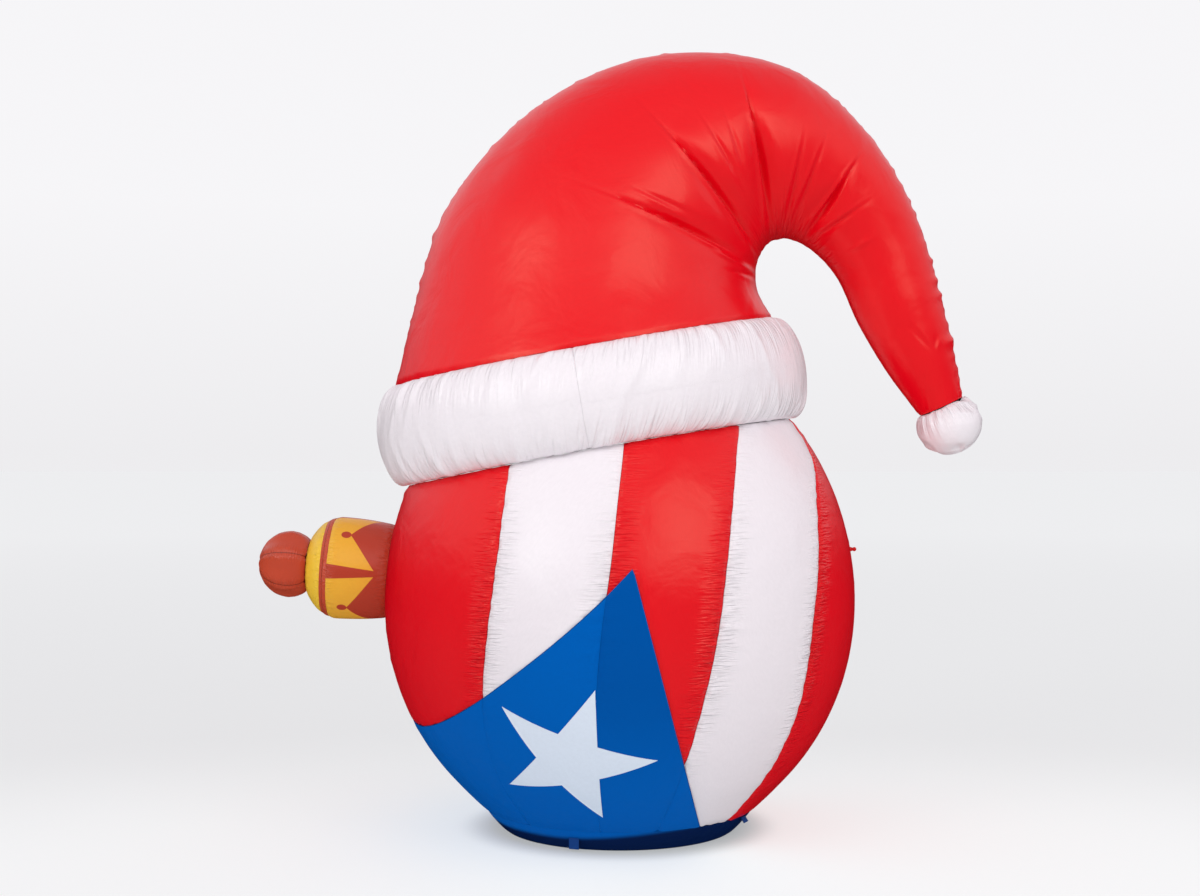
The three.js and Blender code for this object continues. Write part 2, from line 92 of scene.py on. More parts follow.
# Matt white paint that glows a little, so that it looks as pale as the room behind it. The glow is painted
# light, brightest in front of the ball, fading behind it and a little brighter again far off, and dimmed
# round the ball's foot as a painted contact shadow that only the camera sees. The cloth gets only a share of
# the glow that the camera sees.
floor_paint, tree = new_material("floor_paint")
place = put(tree, "ShaderNodeTexCoord")
path = put(tree, "ShaderNodeLightPath")
far = put(tree, "ShaderNodeVectorMath", {0: place.outputs["Object"], 1: (0, -2, 0)}, operation="DISTANCE")
glow = put(tree, "ShaderNodeMapRange", {
    "Value": far.outputs["Value"], "From Min": 2.0, "From Max": 3.5, "To Min": 0.61, "To Max": 0.510},
    interpolation_type="SMOOTHSTEP")
farther = put(tree, "ShaderNodeMapRange", {
    "Value": far.outputs["Value"], "From Min": 4.5, "From Max": 16.0, "To Min": 0.0, "To Max": 0.058})
glow = put(tree, "ShaderNodeMath", {0: glow.outputs["Result"], 1: farther.outputs["Result"]}, operation="ADD")
near = put(tree, "ShaderNodeVectorMath", {0: place.outputs["Object"]}, operation="LENGTH")
# Painted contact shadow: the glow that the camera sees is dimmed near the ball's foot.
painted_contact_shadow = put(tree, "ShaderNodeMapRange", {
    "Value": near.outputs["Value"], "From Min": 0.27, "From Max": 0.40, "To Min": 0.55, "To Max": 1.0},
    interpolation_type="SMOOTHERSTEP")
share = put(tree, "ShaderNodeMapRange", {
    "Value": path.outputs["Is Camera Ray"], "To Min": FLOOR_GLOW, "To Max": painted_contact_shadow.outputs["Result"]})
glow = put(tree, "ShaderNodeMath", {
    0: glow.outputs["Value"], 1: share.outputs["Result"]}, operation="MULTIPLY")
surface = put(tree, "ShaderNodeBsdfPrincipled", {
    "Base Color": [FLOOR_SHARE] * 3 + [1], "Roughness": 0.9, "Specular IOR Level": 0.0,
    "Emission Color": (0.98, 1.03, 1.03, 1), "Emission Strength": glow.outputs["Value"]})
put(tree, "ShaderNodeOutputMaterial", {"Surface": surface.outputs["BSDF"]})

bpy.ops.object.select_all(action="DESELECT")
bpy.ops.mesh.primitive_plane_add(size=FLOOR_WIDTH)
floor = bpy.context.object
floor.name = "studio_floor"
floor.data.materials.append(floor_paint)
floor.visible_glossy = False

# The camera sees an even, pale room. The cloth sees its lit walls, by the direction that it looks in.
room = bpy.data.worlds.new("studio_room")
room.use_nodes = True
tree = room.node_tree
tree.nodes.clear()
path = put(tree, "ShaderNodeLightPath")
toward = put(tree, "ShaderNodeTexCoord")
up = put(tree, "ShaderNodeSeparateXYZ", {"Vector": toward.outputs["Generated"]})
paler = put(tree, "ShaderNodeMapRange", {
    "Value": up.outputs["Z"], "From Min": 0.0, "From Max": 0.14, "To Min": 0.850, "To Max": 0.925})
seen = put(tree, "ShaderNodeBackground", {
    "Color": (1.0, 0.992, 1.012, 1), "Strength": paler.outputs["Result"]})
above = put(tree, "ShaderNodeMapRange", {
    "Value": up.outputs["Z"], "From Min": 0.04, "From Max": 0.32}, interpolation_type="SMOOTHSTEP")
weaker = put(tree, "ShaderNodeMapRange", {
    "Value": up.outputs["Z"], "From Min": 0.40, "From Max": 0.95, "To Min": 1.0, "To Max": 0.40},
    interpolation_type="SMOOTHSTEP")
walls = put(tree, "ShaderNodeMath", {
    0: above.outputs["Result"], 1: weaker.outputs["Result"]}, operation="MULTIPLY")
behind = put(tree, "ShaderNodeMapRange", {
    "Value": up.outputs["Y"], "From Min": 0.0, "From Max": 0.7, "To Min": 1.0, "To Max": 0.62},
    interpolation_type="SMOOTHSTEP")
shape = put(tree, "ShaderNodeMath", {
    0: walls.outputs["Value"], 1: behind.outputs["Result"]}, operation="MULTIPLY")
aside = put(tree, "ShaderNodeMath", {0: up.outputs["X"]}, operation="ABSOLUTE")
flagged = put(tree, "ShaderNodeMapRange", {
    "Value": aside.outputs["Value"], "From Min": 0.4, "From Max": 0.95,
    "To Min": ROOM_LIGHT, "To Max": 0.80 * ROOM_LIGHT},
    interpolation_type="SMOOTHSTEP")
lit = put(tree, "ShaderNodeMath", {
    0: shape.outputs["Value"], 1: flagged.outputs["Result"]}, operation="MULTIPLY")
light = put(tree, "ShaderNodeBackground", {"Color": (1.0, 0.91, 0.965, 1), "Strength": lit.outputs["Value"]})
either = put(tree, "ShaderNodeMixShader", {
    0: path.outputs["Is Camera Ray"], 1: light.outputs[0], 2: seen.outputs[0]})
put(tree, "ShaderNodeOutputWorld", {"Surface": either.outputs[0]})
bpy.context.scene.world = room

# Where each lamp stands, what it is aimed at, its width and height, its power in watts, and its spread in
# degrees.
LAMP_COLOUR = (0.90, 1.0, 0.95)
lamps = [
    {"name": "left_lamp", "place": (-2.0, -2.1, 2.3), "aim": (-0.05, 0, 1.58), "size": (2.0, 2.4),
     "power": 4.1, "spread": 48},
    {"name": "right_lamp", "place": (1.6, -2.5, 2.2), "aim": (0.2, 0, 1.3), "size": (1.8, 1.8),
     "power": 12.0, "spread": 150},
]
for lamp in lamps:
    bpy.ops.object.select_all(action="DESELECT")
    bpy.ops.object.light_add(type="AREA", location=lamp["place"])
    made = bpy.context.object
    made.name = lamp["name"]
    made.data.shape = "RECTANGLE"
    made.data.size, made.data.size_y = lamp["size"]
    made.data.energy = lamp["power"]
    made.data.spread = math.radians(lamp["spread"])
    made.data.color = LAMP_COLOUR
    aim = np.subtract(lamp["aim"], lamp["place"])
    made.rotation_euler = (math.atan2(math.hypot(aim[0], aim[1]), -aim[2]), 0, math.atan2(-aim[0], aim[1]))


# Gores. Five a side go round the ball, red or white above and blue under the edge of the triangle, in nine
# pieces. They are thin polyester taffeta, sewn edge to edge from inside, and the seams draw them into short
# ridges. The back mirrors the front.
# The cloth's thickness, the slit of a seam, and the depth and half width of the groove along it. How far from
# a seam its ridges begin, a distance that is past the painted seam shade, and the least share of its cut size
# that a piece of cloth fills.
CLOTH = 0.0014
GAP = 0.0003
GROOVE_DEPTH = 0.0024
GROOVE_WIDTH = 0.0065
RIDGE_START = 0.006
OFF_SEAM = 0.01
LEAST_SHARE = 0.31

BALL = {"radius": 0.545, "waist": 0.530, "below": 0.578, "above": 0.618, "base": 0.050, "puff": 0.005,
        "sag": 0.011, "sag_from": 0.130}
# Each seam's turn from the front in degrees, from left to right, at the same heights.
SEAM_HEIGHTS = [0.050, 0.300, 0.500, 0.650, 0.780, 0.880, 0.960]
SEAM_TURNS = [
    [-90, -90, -90, -90, -90, -90, -90],
    [-40, -35.5, -31, -29.2, -29.5, -31, -32],
    [-8, -6.4, -4.5, -2.4, -0.9, 0.5, 1.5],
    [14.8, 18.2, 21.5, 24.3, 28.2, 33.6, 41],
    [50, 49.2, 49.5, 53.7, 60.8, 74, 80],
    [90, 90, 90, 90, 90, 90, 90],
]
# The brim's two rings, which also say where the gores end.
BRIM = {"low_tilt": math.radians(9.9), "low_height": 0.883, "low_x": -0.047, "low_arch": 0.011,
        "top_tilt": math.radians(10.3), "top_height": 1.104, "top_x": -0.082, "top_radius": 0.447,
        "top_dip": 0.006, "bulge": 0.057, "seam_turn": math.radians(-2.5)}
# The star's middle and radius, the angle of its top point, the radius of its notches as a share, and how far
# it lies off the blue. The triangle's tip, the end from which its left edge climbs, and its right slope.
STAR = {"turn": math.radians(-13.25), "height": 0.229, "radius": 0.190, "tilt": 68, "inner": 0.385,
        "lift": 0.0014}
TRIANGLE = {"apex_turn": 2.4, "apex_height": 0.639, "level_turn": -72, "level_height": 0.260,
            "right_slope": 0.26}


def bisect(below, low, high):
    """Where below() turns from true to false between two arrays of values."""
    low, high = np.array(low, float), np.array(high, float)
    for _ in range(40):
        middle = (low + high) / 2
        inside = below(middle)
        low, high = np.where(inside, middle, low), np.where(inside, high, middle)
    return (low + high) / 2


def smooth(at, places, values):
    """Smooth curve through values given at rising places."""
    places, values = np.asarray(places, float), np.asarray(values, float)
    x = np.clip(at, places[0], places[-1])
    i = np.clip(np.searchsorted(places, x, side="right") - 1, 0, len(places) - 2)
    order = np.arange(len(places))
    before, after = np.maximum(order - 1, 0), np.minimum(order + 1, len(places) - 1)
    slopes = (values[after] - values[before]) / (places[after] - places[before])
    span = places[i + 1] - places[i]
    t = (x - places[i]) / span
    rise, start, end = values[i + 1] - values[i], slopes[i] * span, slopes[i + 1] * span
    return values[i] + t * start + t**2 * (3 * rise - 2 * start - end) + t**3 * (start + end - 2 * rise)


def ball_radius(z):
    """Radius of the plain ball at a height: half an ellipse below its waist, half of a taller one above, and
    a little more near the ground, where the cloth sags."""
    half = np.where(z < BALL["waist"], BALL["below"], BALL["above"])
    sag = BALL["sag"] * (np.maximum(BALL["sag_from"] - z, 0) / (BALL["sag_from"] - BALL["base"])) ** 2
    return BALL["radius"] * np.sqrt(np.maximum(1 - ((z - BALL["waist"]) / half) ** 2, 0)) + sag


def ball_top(turn):
    """Height of the brim's lower ring over one turn of the ball's front."""
    middle = BRIM["low_height"] + BRIM["low_arch"] * np.cos(turn) ** 2
    z = middle
    for _ in range(12):
        z = middle + math.tan(BRIM["low_tilt"]) * ball_radius(z) * np.sin(turn)
    return z


def seam_turn(k, z):
    """Turn from the front of one of a side's six seams."""
    return np.radians(smooth(z, SEAM_HEIGHTS, SEAM_TURNS[k]))


def gore_place(k, share, z):
    """Turn and radius of the cloth of one gore, puffed out between its seams."""
    inset = GAP / 2 / ball_radius(z)
    left, right = seam_turn(k, z) + inset, seam_turn(k + 1, z) - inset
    turn = left + (right - left) * share
    up = np.clip((z - BALL["base"]) / (ball_top(turn) - BALL["base"]), 0, 1)
    return turn, ball_radius(z) + BALL["puff"] * np.sin(np.pi * share) * np.sqrt(np.sin(np.pi * up))


def blue_depth(turn, radius, z):
    """Positive inside the blue triangle."""
    climb = np.maximum(np.degrees(turn) - TRIANGLE["level_turn"], 0)
    climb = climb / (TRIANGLE["apex_turn"] - TRIANGLE["level_turn"])
    left = TRIANGLE["level_height"] + (TRIANGLE["apex_height"] - TRIANGLE["level_height"]) * climb**2
    apex_x = ball_radius(TRIANGLE["apex_height"]) * math.sin(math.radians(TRIANGLE["apex_turn"]))
    right = apex_x + TRIANGLE["right_slope"] * (TRIANGLE["apex_height"] - z) - radius * np.sin(turn)
    return np.minimum(left - z, right)


def blue_top(k, share):
    """Height of the blue's edge on one gore, or the base where there is no blue."""
    low = np.full_like(share, BALL["base"])
    edge = bisect(lambda z: blue_depth(*gore_place(k, share, z), z) > 0, low, TRIANGLE["apex_height"] + 0.001)
    return np.where(blue_depth(*gore_place(k, share, low), low) > 0, edge, low)


def gore_top(k, share):
    """Height at which a gore ends, under the brim."""
    z = np.full_like(share, BRIM["low_height"])
    for _ in range(12):
        z = ball_top(gore_place(k, share, z)[0])
    return z - GAP


def crowded(count, amount=0.55):
    """Even steps from 0 to 1, drawn together towards both ends."""
    even = np.linspace(0, 1, count + 1)
    return (1 - amount) * even + amount * (0.5 - 0.5 * np.cos(np.pi * even))


def normals_of(points):
    """Outward normals of a grid of points, from its two directions."""
    across = np.cross(np.gradient(points, axis=0), np.gradient(points, axis=1))
    return across / np.maximum(np.linalg.norm(across, axis=2, keepdims=True), 1e-12)


def run_of(points, axis):
    """Length of cloth along a grid's lines, from its first line."""
    steps = np.linalg.norm(np.diff(points, axis=axis), axis=2)
    start = np.zeros_like(points[..., 0])
    if axis == 0:
        start[1:] = np.cumsum(steps, axis=0)
    else:
        start[:, 1:] = np.cumsum(steps, axis=1)
    return start


def ridges(along, away, seed, height, pitch=0.021, reach=0.05, lean=0.25, start=RIDGE_START):
    """Ridges that run away from a sewn edge, each with its own place, height, reach and lean."""
    random = np.random.default_rng(seed)
    first = along.min() - 4 * pitch
    count = int((along.max() - first) / pitch) + 6
    place = first + pitch * (np.arange(count) + random.uniform(-0.32, 0.32, count))
    tall = random.uniform(0.15, 1, count)
    far = reach * random.uniform(0.3, 1.3, count)
    tilt = random.uniform(-lean, lean, count)
    total = np.zeros_like(along)
    for step in range(-3, 5):
        i = np.clip(((along - first) / pitch).astype(int) + step, 0, count - 1)
        across = (along - place[i] - tilt[i] * away) / (0.26 * pitch * (1 + 0.6 * away / far[i]))
        total += tall[i] * np.exp(-(across**2) - (away / far[i]) ** 2)
    return height * total * (1 - np.exp(-((away / start) ** 2)))


def wander(along, seed, pitch):
    """Smooth random wave from -1 to 1 along a line."""
    values = np.random.default_rng(seed).uniform(-1, 1, 4096)
    at = along / pitch + 1000
    i = np.floor(at).astype(int)
    t = at - i
    t = t * t * (3 - 2 * t)
    return values[i % 4096] * (1 - t) + values[(i + 1) % 4096] * t


def groove(along, away, seed, share=1.0, scallop=0.6, pitch=0.024):
    """How far a seam draws its edge in: the same on both of its sides, and uneven along it."""
    depth = share * GROOVE_DEPTH * (1 + scallop * wander(along, seed, pitch / 2))
    return depth * np.exp(-((away / GROOVE_WIDTH) ** 2))


def pleats(edges):
    """Where fine pleats lie on a grid: places counted in pleats along the nearest sewn edge, distance from it
    counted in the pleats' reach, and height. Each edge gives along, away, pitch, reach and height."""
    best = None
    for number, (along, away, pitch, reach, height) in enumerate(edges):
        along, away, height = np.broadcast_arrays(along, away, height)
        here = np.stack([along / pitch + 37.0 * number, away / reach, height], axis=-1)
        best = here if best is None else np.where((here[..., 1] < best[..., 1])[..., None], here, best)
    return best


def lay_sheet(name, points, edge=None, wrap=False, thick=CLOTH, uv=None, pleat=None):
    """A sheet of cloth on a grid of points, as thick as the cloth, with its cloth sizes as UV, and with its
    distance from the nearest sewn edge, which places the painted seam shade, and its pleats as attributes."""
    if edge is None:
        edge = np.full(points.shape[:2], OFF_SEAM)
    columns, rows = points.shape[0] - 1, points.shape[1] - 1
    bpy.ops.object.select_all(action="DESELECT")
    bpy.ops.mesh.primitive_grid_add(x_subdivisions=columns, y_subdivisions=rows, size=1, calc_uvs=True)
    piece = bpy.context.object
    piece.name = piece.data.name = name
    mesh = piece.data
    flat = np.empty(len(mesh.vertices) * 3)
    mesh.vertices.foreach_get("co", flat)
    flat = flat.reshape(-1, 3)
    i = np.rint((flat[:, 0] + 0.5) * columns).astype(int)
    j = np.rint((flat[:, 1] + 0.5) * rows).astype(int)
    mesh.vertices.foreach_set("co", points[i, j].ravel())
    sewn = mesh.attributes.new("sewn_edge", "FLOAT", "POINT")
    sewn.data.foreach_set("value", edge[i, j].astype(np.float32))
    if pleat is not None:
        drawn_in = mesh.attributes.new("pleat", "FLOAT_VECTOR", "POINT")
        drawn_in.data.foreach_set("vector", pleat[i, j].astype(np.float32).ravel())
    corner = np.empty(len(mesh.loops), int)
    mesh.loops.foreach_get("vertex_index", corner)
    if uv is None:
        uv = np.stack([run_of(points, 0), run_of(points, 1)], axis=-1)
    mesh.uv_layers.active.data.foreach_set("uv", uv[i[corner], j[corner]].astype(np.float32).ravel())
    mesh.update()
    if wrap:
        bpy.ops.object.mode_set(mode="EDIT")
        bpy.ops.mesh.select_all(action="SELECT")
        bpy.ops.mesh.remove_doubles(threshold=1e-5)
        bpy.ops.object.mode_set(mode="OBJECT")
    solid = piece.modifiers.new("cloth_thickness", "SOLIDIFY")
    solid.thickness = thick
    solid.offset = -1
    bpy.ops.object.modifier_apply(modifier=solid.name)
    bpy.ops.object.shade_smooth_by_angle(angle=math.radians(50))
    return piece


def hand_over(piece, node, slot, material, flat, area):
    """Puts the material on a piece, hangs it on the root, and hides the model's part for its node. The size
    of its cloth is not used.
    """
    piece.data.materials.clear()
    piece.data.materials.append(material)
    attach(piece, "root")
    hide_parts(node)


def cut_size(plain):
    """Width, length and area of a piece's cloth, measured on its plain grid, before seams draw it up. The
    area of a long triangle is no less than the least share of its width times its length."""
    width = float(run_of(plain, 0)[-1].max())
    length = float(run_of(plain, 1)[:, -1].max())
    cell = np.cross(plain[1:, :-1] - plain[:-1, :-1], plain[:-1, 1:] - plain[:-1, :-1])
    area = float(np.linalg.norm(cell, axis=2).sum())
    return (width, length), min(max(area, LEAST_SHARE * width * length), width * length)


def taffeta(name, colour, shade=0.5, gloss=0.4, tint="#ffffff"):
    """Polyester taffeta with a thin coating: a close plain weave with a soft satin gloss, painted seam shade
    in a thin line along its seams, fine pleats beside them, and faint crumples from storage. Threads lie 0.3
    mm apart and are drawn at 1.5 mm, the finest that still shows."""
    thread, slub = 1.5e-3, 9e-3
    material, tree = new_material(name)
    uv = put(tree, "ShaderNodeUVMap")
    place = put(tree, "ShaderNodeTexCoord")
    sewn = put(tree, "ShaderNodeAttribute", attribute_name="sewn_edge")
    # Painted shade along the seams: the colour dims to its shade share within 2 mm of a sewn edge.
    line = put(tree, "ShaderNodeMapRange", {
        "Value": sewn.outputs["Fac"], "From Min": 0.0004, "From Max": 0.0020, "To Min": 1.0, "To Max": 0.0},
        interpolation_type="SMOOTHSTEP")
    warp = put(tree, "ShaderNodeTexWave", {"Vector": uv.outputs["UV"], "Scale": math.pi / 10 / thread},
               bands_direction="X")
    weft = put(tree, "ShaderNodeTexWave", {"Vector": uv.outputs["UV"], "Scale": math.pi / 10 / thread},
               bands_direction="Y")
    weave = put(tree, "ShaderNodeMath", {
        0: warp.outputs["Fac"], 1: weft.outputs["Fac"]}, operation="MULTIPLY")
    streaks = put(tree, "ShaderNodeTexNoise", {
        "Vector": uv.outputs["UV"], "Scale": 1 / slub, "Detail": 3.0, "Roughness": 0.6})
    crumple = put(tree, "ShaderNodeTexNoise", {
        "Vector": place.outputs["Object"], "Scale": 9.0, "Detail": 4.0, "Roughness": 0.45, "Distortion": 0.6})
    tone = put(tree, "ShaderNodeMapRange", {
        "Value": streaks.outputs["Fac"], "From Min": 0.3, "From Max": 0.7, "To Min": 0.0, "To Max": 1.0})
    dyed = put(tree, "ShaderNodeMix", {
        "Factor": tone.outputs["Result"], "A": [c * 0.965 for c in linear(colour)[:3]] + [1],
        "B": linear(colour)}, data_type="RGBA")
    painted_seam_shade = [c * shade for c in linear(colour)[:3]] + [1]
    seam_shaded_colour = put(tree, "ShaderNodeMix", {
        "Factor": line.outputs["Result"], "A": dyed.outputs["Result"], "B": painted_seam_shade}, data_type="RGBA")
    weave_bump = put(tree, "ShaderNodeBump", {
        "Height": weave.outputs["Value"], "Strength": 0.12, "Distance": 0.0003})
    crumple_bump = put(tree, "ShaderNodeBump", {
        "Height": crumple.outputs["Fac"], "Strength": 0.4, "Distance": 0.012,
        "Normal": weave_bump.outputs["Normal"]})
    pleat = put(tree, "ShaderNodeAttribute", attribute_name="pleat")
    part = put(tree, "ShaderNodeSeparateXYZ", {"Vector": pleat.outputs["Vector"]})
    drawn_out = put(tree, "ShaderNodeVectorMath", {
        0: pleat.outputs["Vector"], 1: (1, 0.4, 0)}, operation="MULTIPLY")
    uneven = put(tree, "ShaderNodeTexNoise", {
        "Vector": drawn_out.outputs["Vector"], "Scale": 1.3, "Detail": 2.0, "Roughness": 0.55},
        noise_dimensions="2D")
    signed = put(tree, "ShaderNodeMath", {0: uneven.outputs["Fac"], 1: 0.5}, operation="SUBTRACT")
    valley = put(tree, "ShaderNodeMath", {0: signed.outputs["Value"]}, operation="ABSOLUTE")
    fade = put(tree, "ShaderNodeMapRange", {
        "Value": part.outputs["Y"], "From Max": 1.7, "To Min": 1.0, "To Max": 0.0},
        interpolation_type="SMOOTHERSTEP")
    faded = put(tree, "ShaderNodeMath", {
        0: valley.outputs["Value"], 1: fade.outputs["Result"]}, operation="MULTIPLY")
    height = put(tree, "ShaderNodeMath", {
        0: faded.outputs["Value"], 1: part.outputs["Z"]}, operation="MULTIPLY")
    pleat_bump = put(tree, "ShaderNodeBump", {
        "Height": height.outputs["Value"], "Strength": 1.0, "Distance": 1.0,
        "Normal": crumple_bump.outputs["Normal"]})
    surface = put(tree, "ShaderNodeBsdfPrincipled", {
        "Base Color": seam_shaded_colour.outputs["Result"], "Roughness": 0.30, "Specular IOR Level": gloss,
        "Specular Tint": linear(tint), "Normal": pleat_bump.outputs["Normal"]})
    put(tree, "ShaderNodeOutputMaterial", {"Surface": surface.outputs["BSDF"]})
    return material


def dye(material, colour, share):
    """Gives a cloth a second colour where its share, a socket of the same tree, is one."""
    tree = material.node_tree
    surface = next(node for node in tree.nodes if node.type == "BSDF_PRINCIPLED")
    first = surface.inputs["Base Color"].links[0].from_socket
    both = put(tree, "ShaderNodeMix", {"Factor": share, "A": first, "B": linear(colour)}, data_type="RGBA")
    tree.links.new(both.outputs["Result"], surface.inputs["Base Color"])


# Red is the glossiest of the dyed cloths, and its gloss is faintly warm. White shows little painted shade
# along its seams, and blue is nearly matt.
red_cloth = taffeta("red_taffeta", "#f0001a", gloss=0.42, shade=0.72, tint="#fff8d8")
white_cloth = taffeta("white_taffeta", "#faf4f8", shade=0.92)
blue_cloth = taffeta("blue_taffeta", "#0062bd", gloss=0.02)

# The middle gore's blue deepens higher up, towards the triangle's tip: this is painted shade.
painted_shade_blue_cloth = taffeta("blue_taffeta_painted_shade", "#0062bd", gloss=0.02)
tree = painted_shade_blue_cloth.node_tree
place = put(tree, "ShaderNodeTexCoord")
up = put(tree, "ShaderNodeSeparateXYZ", {"Vector": place.outputs["Object"]})
painted_shade_to_tip = put(tree, "ShaderNodeMapRange", {
    "Value": up.outputs["Z"], "From Min": 0.10, "From Max": 0.42}, interpolation_type="SMOOTHSTEP")
dye(painted_shade_blue_cloth, "#0055a8", painted_shade_to_tip.outputs["Result"])

# Gores from left to right. Across is the number of columns of each one's grid.
gores = [
    {"name": "red_left", "cloth": red_cloth, "slot": "red_cloth", "across": 56},
    {"name": "white_left", "cloth": white_cloth, "slot": "white_cloth", "across": 38},
    {"name": "red_middle", "cloth": red_cloth, "slot": "red_cloth", "across": 38},
    {"name": "white_right", "cloth": white_cloth, "slot": "white_cloth", "across": 40},
    {"name": "red_right", "cloth": red_cloth, "slot": "red_cloth", "across": 40},
]
ROW_STEP = 0.0048
DRAWN_MIDDLE = 0.50
DRAWN_SPREAD = 0.24
PLEAT = {"pitch": 0.0115, "reach": 0.044, "height": 0.0100, "blue_share": 0.10}
BLUE_CALM = 0.6


def drawn_up(z):
    """How strongly the long seams gather the cloth: most at the waist, little near the ends."""
    return 0.3 + 0.9 * np.exp(-(((z - DRAWN_MIDDLE) / DRAWN_SPREAD) ** 2))


def gore_cloth(k, side, shares, floor_line, roof_line, seed, blue):
    """Plain and drawn-up grids of one gore's cloth between two lines, its distance from its sewn edges, where
    the painted seam shade lies, and its pleats. Its outer seam also lifts it in scallops, which show at the
    ball's sides."""
    rows = max(int(np.max(roof_line - floor_line) / ROW_STEP), 12)
    v = np.linspace(0, 1, rows + 1)
    share = np.repeat(shares[:, None], rows + 1, axis=1)
    z = floor_line[:, None] + (roof_line - floor_line)[:, None] * v
    turn, radius = gore_place(k, share, z)
    plain = np.stack([radius * np.sin(turn), -side * radius * np.cos(turn), z], axis=-1)
    wide = radius * (seam_turn(k + 1, z) - seam_turn(k, z))
    slope = np.gradient(roof_line if blue else floor_line, radius[:, 0] * turn[:, 0])
    lean = 1 / np.sqrt(1 + slope**2)
    left, right = share * wide, (1 - share) * wide
    top = (roof_line[:, None] - z) * 0.9
    bottom = (z - floor_line[:, None]) * lean[:, None]
    girth = radius * turn
    raised = ridges(z, left, seed, height=0.0034 * drawn_up(z))
    raised += ridges(z, right, seed + 1, height=0.0034 * drawn_up(z))
    for outer_seam, away in ((0, left), (len(gores) - 1, right)):
        if k == outer_seam:
            raised += ridges(z, away, 950 + k, height=0.0036, pitch=0.026, reach=0.055, lean=0, start=0.001)
    raised += ridges(girth, top, seed + 2, height=0.0016, pitch=0.030, reach=0.035)
    raised += ridges(girth, bottom, seed + 3, height=0.0012, pitch=0.018, reach=0.022)
    sunk = groove(z, left, 900 + k) + groove(z, right, 901 + k) + groove(girth, top, 910, share=0.4)
    on_base = floor_line.max() < BALL["base"] + 0.01
    sunk += groove(girth, bottom, 911, share=0.3 if on_base else 1.0)
    edge = np.minimum(np.minimum(left, right), bottom)
    if blue:
        # The blue is drawn up less, and it lies smooth under the star.
        from_star = np.hypot((turn - STAR["turn"]) * radius, (z - STAR["height"]) * 1.2) / STAR["radius"]
        calm = BLUE_CALM * np.clip((from_star - 0.95) / 0.4, 0, 1)
        raised, sunk = raised * calm, sunk * calm
        edge = (roof_line[:, None] - z) * lean[:, None]
    high = PLEAT["height"] * drawn_up(z) * (PLEAT["blue_share"] if blue else 1)
    pleat = pleats([(z, away, PLEAT["pitch"], PLEAT["reach"], high) for away in (left, right)])
    return plain, plain + normals_of(plain) * side * (raised - sunk)[..., None], edge, pleat


# The front's pieces are kept, for the star to lie on. The back's grids are reversed, so that they face out.
laid = {}
for side, where in ((1, "front"), (-1, "back")):
    for k, gore in enumerate(gores):
        shares = crowded(gore["across"])
        edge_height = blue_top(k, shares)
        has_blue = edge_height.max() > BALL["base"] + 0.003
        bottom_line = edge_height + (GAP / 2 if has_blue else 0)
        cloths = [("", gore["cloth"], gore["slot"], shares, bottom_line, gore_top(k, shares))]
        if has_blue:
            covered = crowded(gore["across"]) * bisect(
                lambda share: blue_top(k, share) > BALL["base"] + 0.003, np.zeros(1), np.ones(1))
            low = np.full_like(covered, BALL["base"])
            blue_edge = blue_top(k, covered) - GAP / 2
            cloths.append(("blue_under_", blue_cloth, "blue_cloth", covered, low, blue_edge))
        for under, cloth, slot, across, low_line, high_line in cloths:
            seed = 10 * k + (100 if side < 0 else 0) + (50 if under else 0)
            plain, drawn, edge, pleat = gore_cloth(k, side, across, low_line, high_line, seed, under != "")
            if side > 0:
                laid[under, k] = (across, low_line, high_line, drawn)
            turned = slice(None) if side > 0 else slice(None, None, -1)
            node = f"{where}_{under}{gore['name']}"
            piece = lay_sheet("cloth_" + node, drawn[turned], edge[turned], pleat=pleat[turned])
            # The middle gore's blue carries painted shade towards the triangle's tip.
            middle_blue = under and gore["name"] == "red_middle"
            hand_over(piece, node, slot, painted_shade_blue_cloth if middle_blue else cloth, *cut_size(plain))


# Star. One piece of pale cloth with five points, sewn flat onto the blue over two gores and the seam between
# them. It lies on the front of the ball alone.
STAR_CLOTH = 0.0009


def skin(turn, z):
    """Points on the drawn-up blue cloth of the ball's front."""
    found = np.zeros(turn.shape + (3,))
    for (under, k), (across, low, high, drawn) in laid.items():
        left, right = seam_turn(k, z), seam_turn(k + 1, z)
        share = (turn - left) / (right - left)
        here = (under != "") & (share >= 0) & (share <= 1)
        i = np.interp(share, across, np.arange(len(across)))
        foot, head = np.interp(share, across, low), np.interp(share, across, high)
        j = np.clip((z - foot) / (head - foot), 0, 1) * (drawn.shape[1] - 1)
        i0, j0 = np.minimum(i.astype(int), len(across) - 2), np.minimum(j.astype(int), drawn.shape[1] - 2)
        a, b = (i - i0)[..., None], (j - j0)[..., None]
        point = ((1 - a) * (1 - b) * drawn[i0, j0] + a * (1 - b) * drawn[i0 + 1, j0]
                 + (1 - a) * b * drawn[i0, j0 + 1] + a * b * drawn[i0 + 1, j0 + 1])
        found = np.where(here[..., None], point, found)
    return found


def star_points(across, up):
    """Points of the star's flat pattern laid on the ball, and the way out from its middle."""
    z, turn = STAR["height"], STAR["turn"]
    radius = float(ball_radius(z))
    middle = np.array([radius * math.sin(turn), -radius * math.cos(turn), z])
    heart = np.array([0, 0, BALL["waist"]])
    flatten = np.array([1 / BALL["radius"] ** 2, 1 / BALL["radius"] ** 2, 1 / BALL["below"] ** 2])
    normal = (middle - heart) * flatten
    normal /= np.linalg.norm(normal)
    right = np.cross([0, 0, 1], normal)
    right /= np.linalg.norm(right)
    above = np.cross(normal, right)
    ray = middle + across[..., None] * right + up[..., None] * above - heart
    reach = np.hypot(np.hypot(ray[..., 0], ray[..., 1]) / BALL["radius"], ray[..., 2] / BALL["below"])
    landed = heart + ray / reach[..., None]
    return skin(np.arctan2(landed[..., 0], -landed[..., 1]), landed[..., 2]), normal


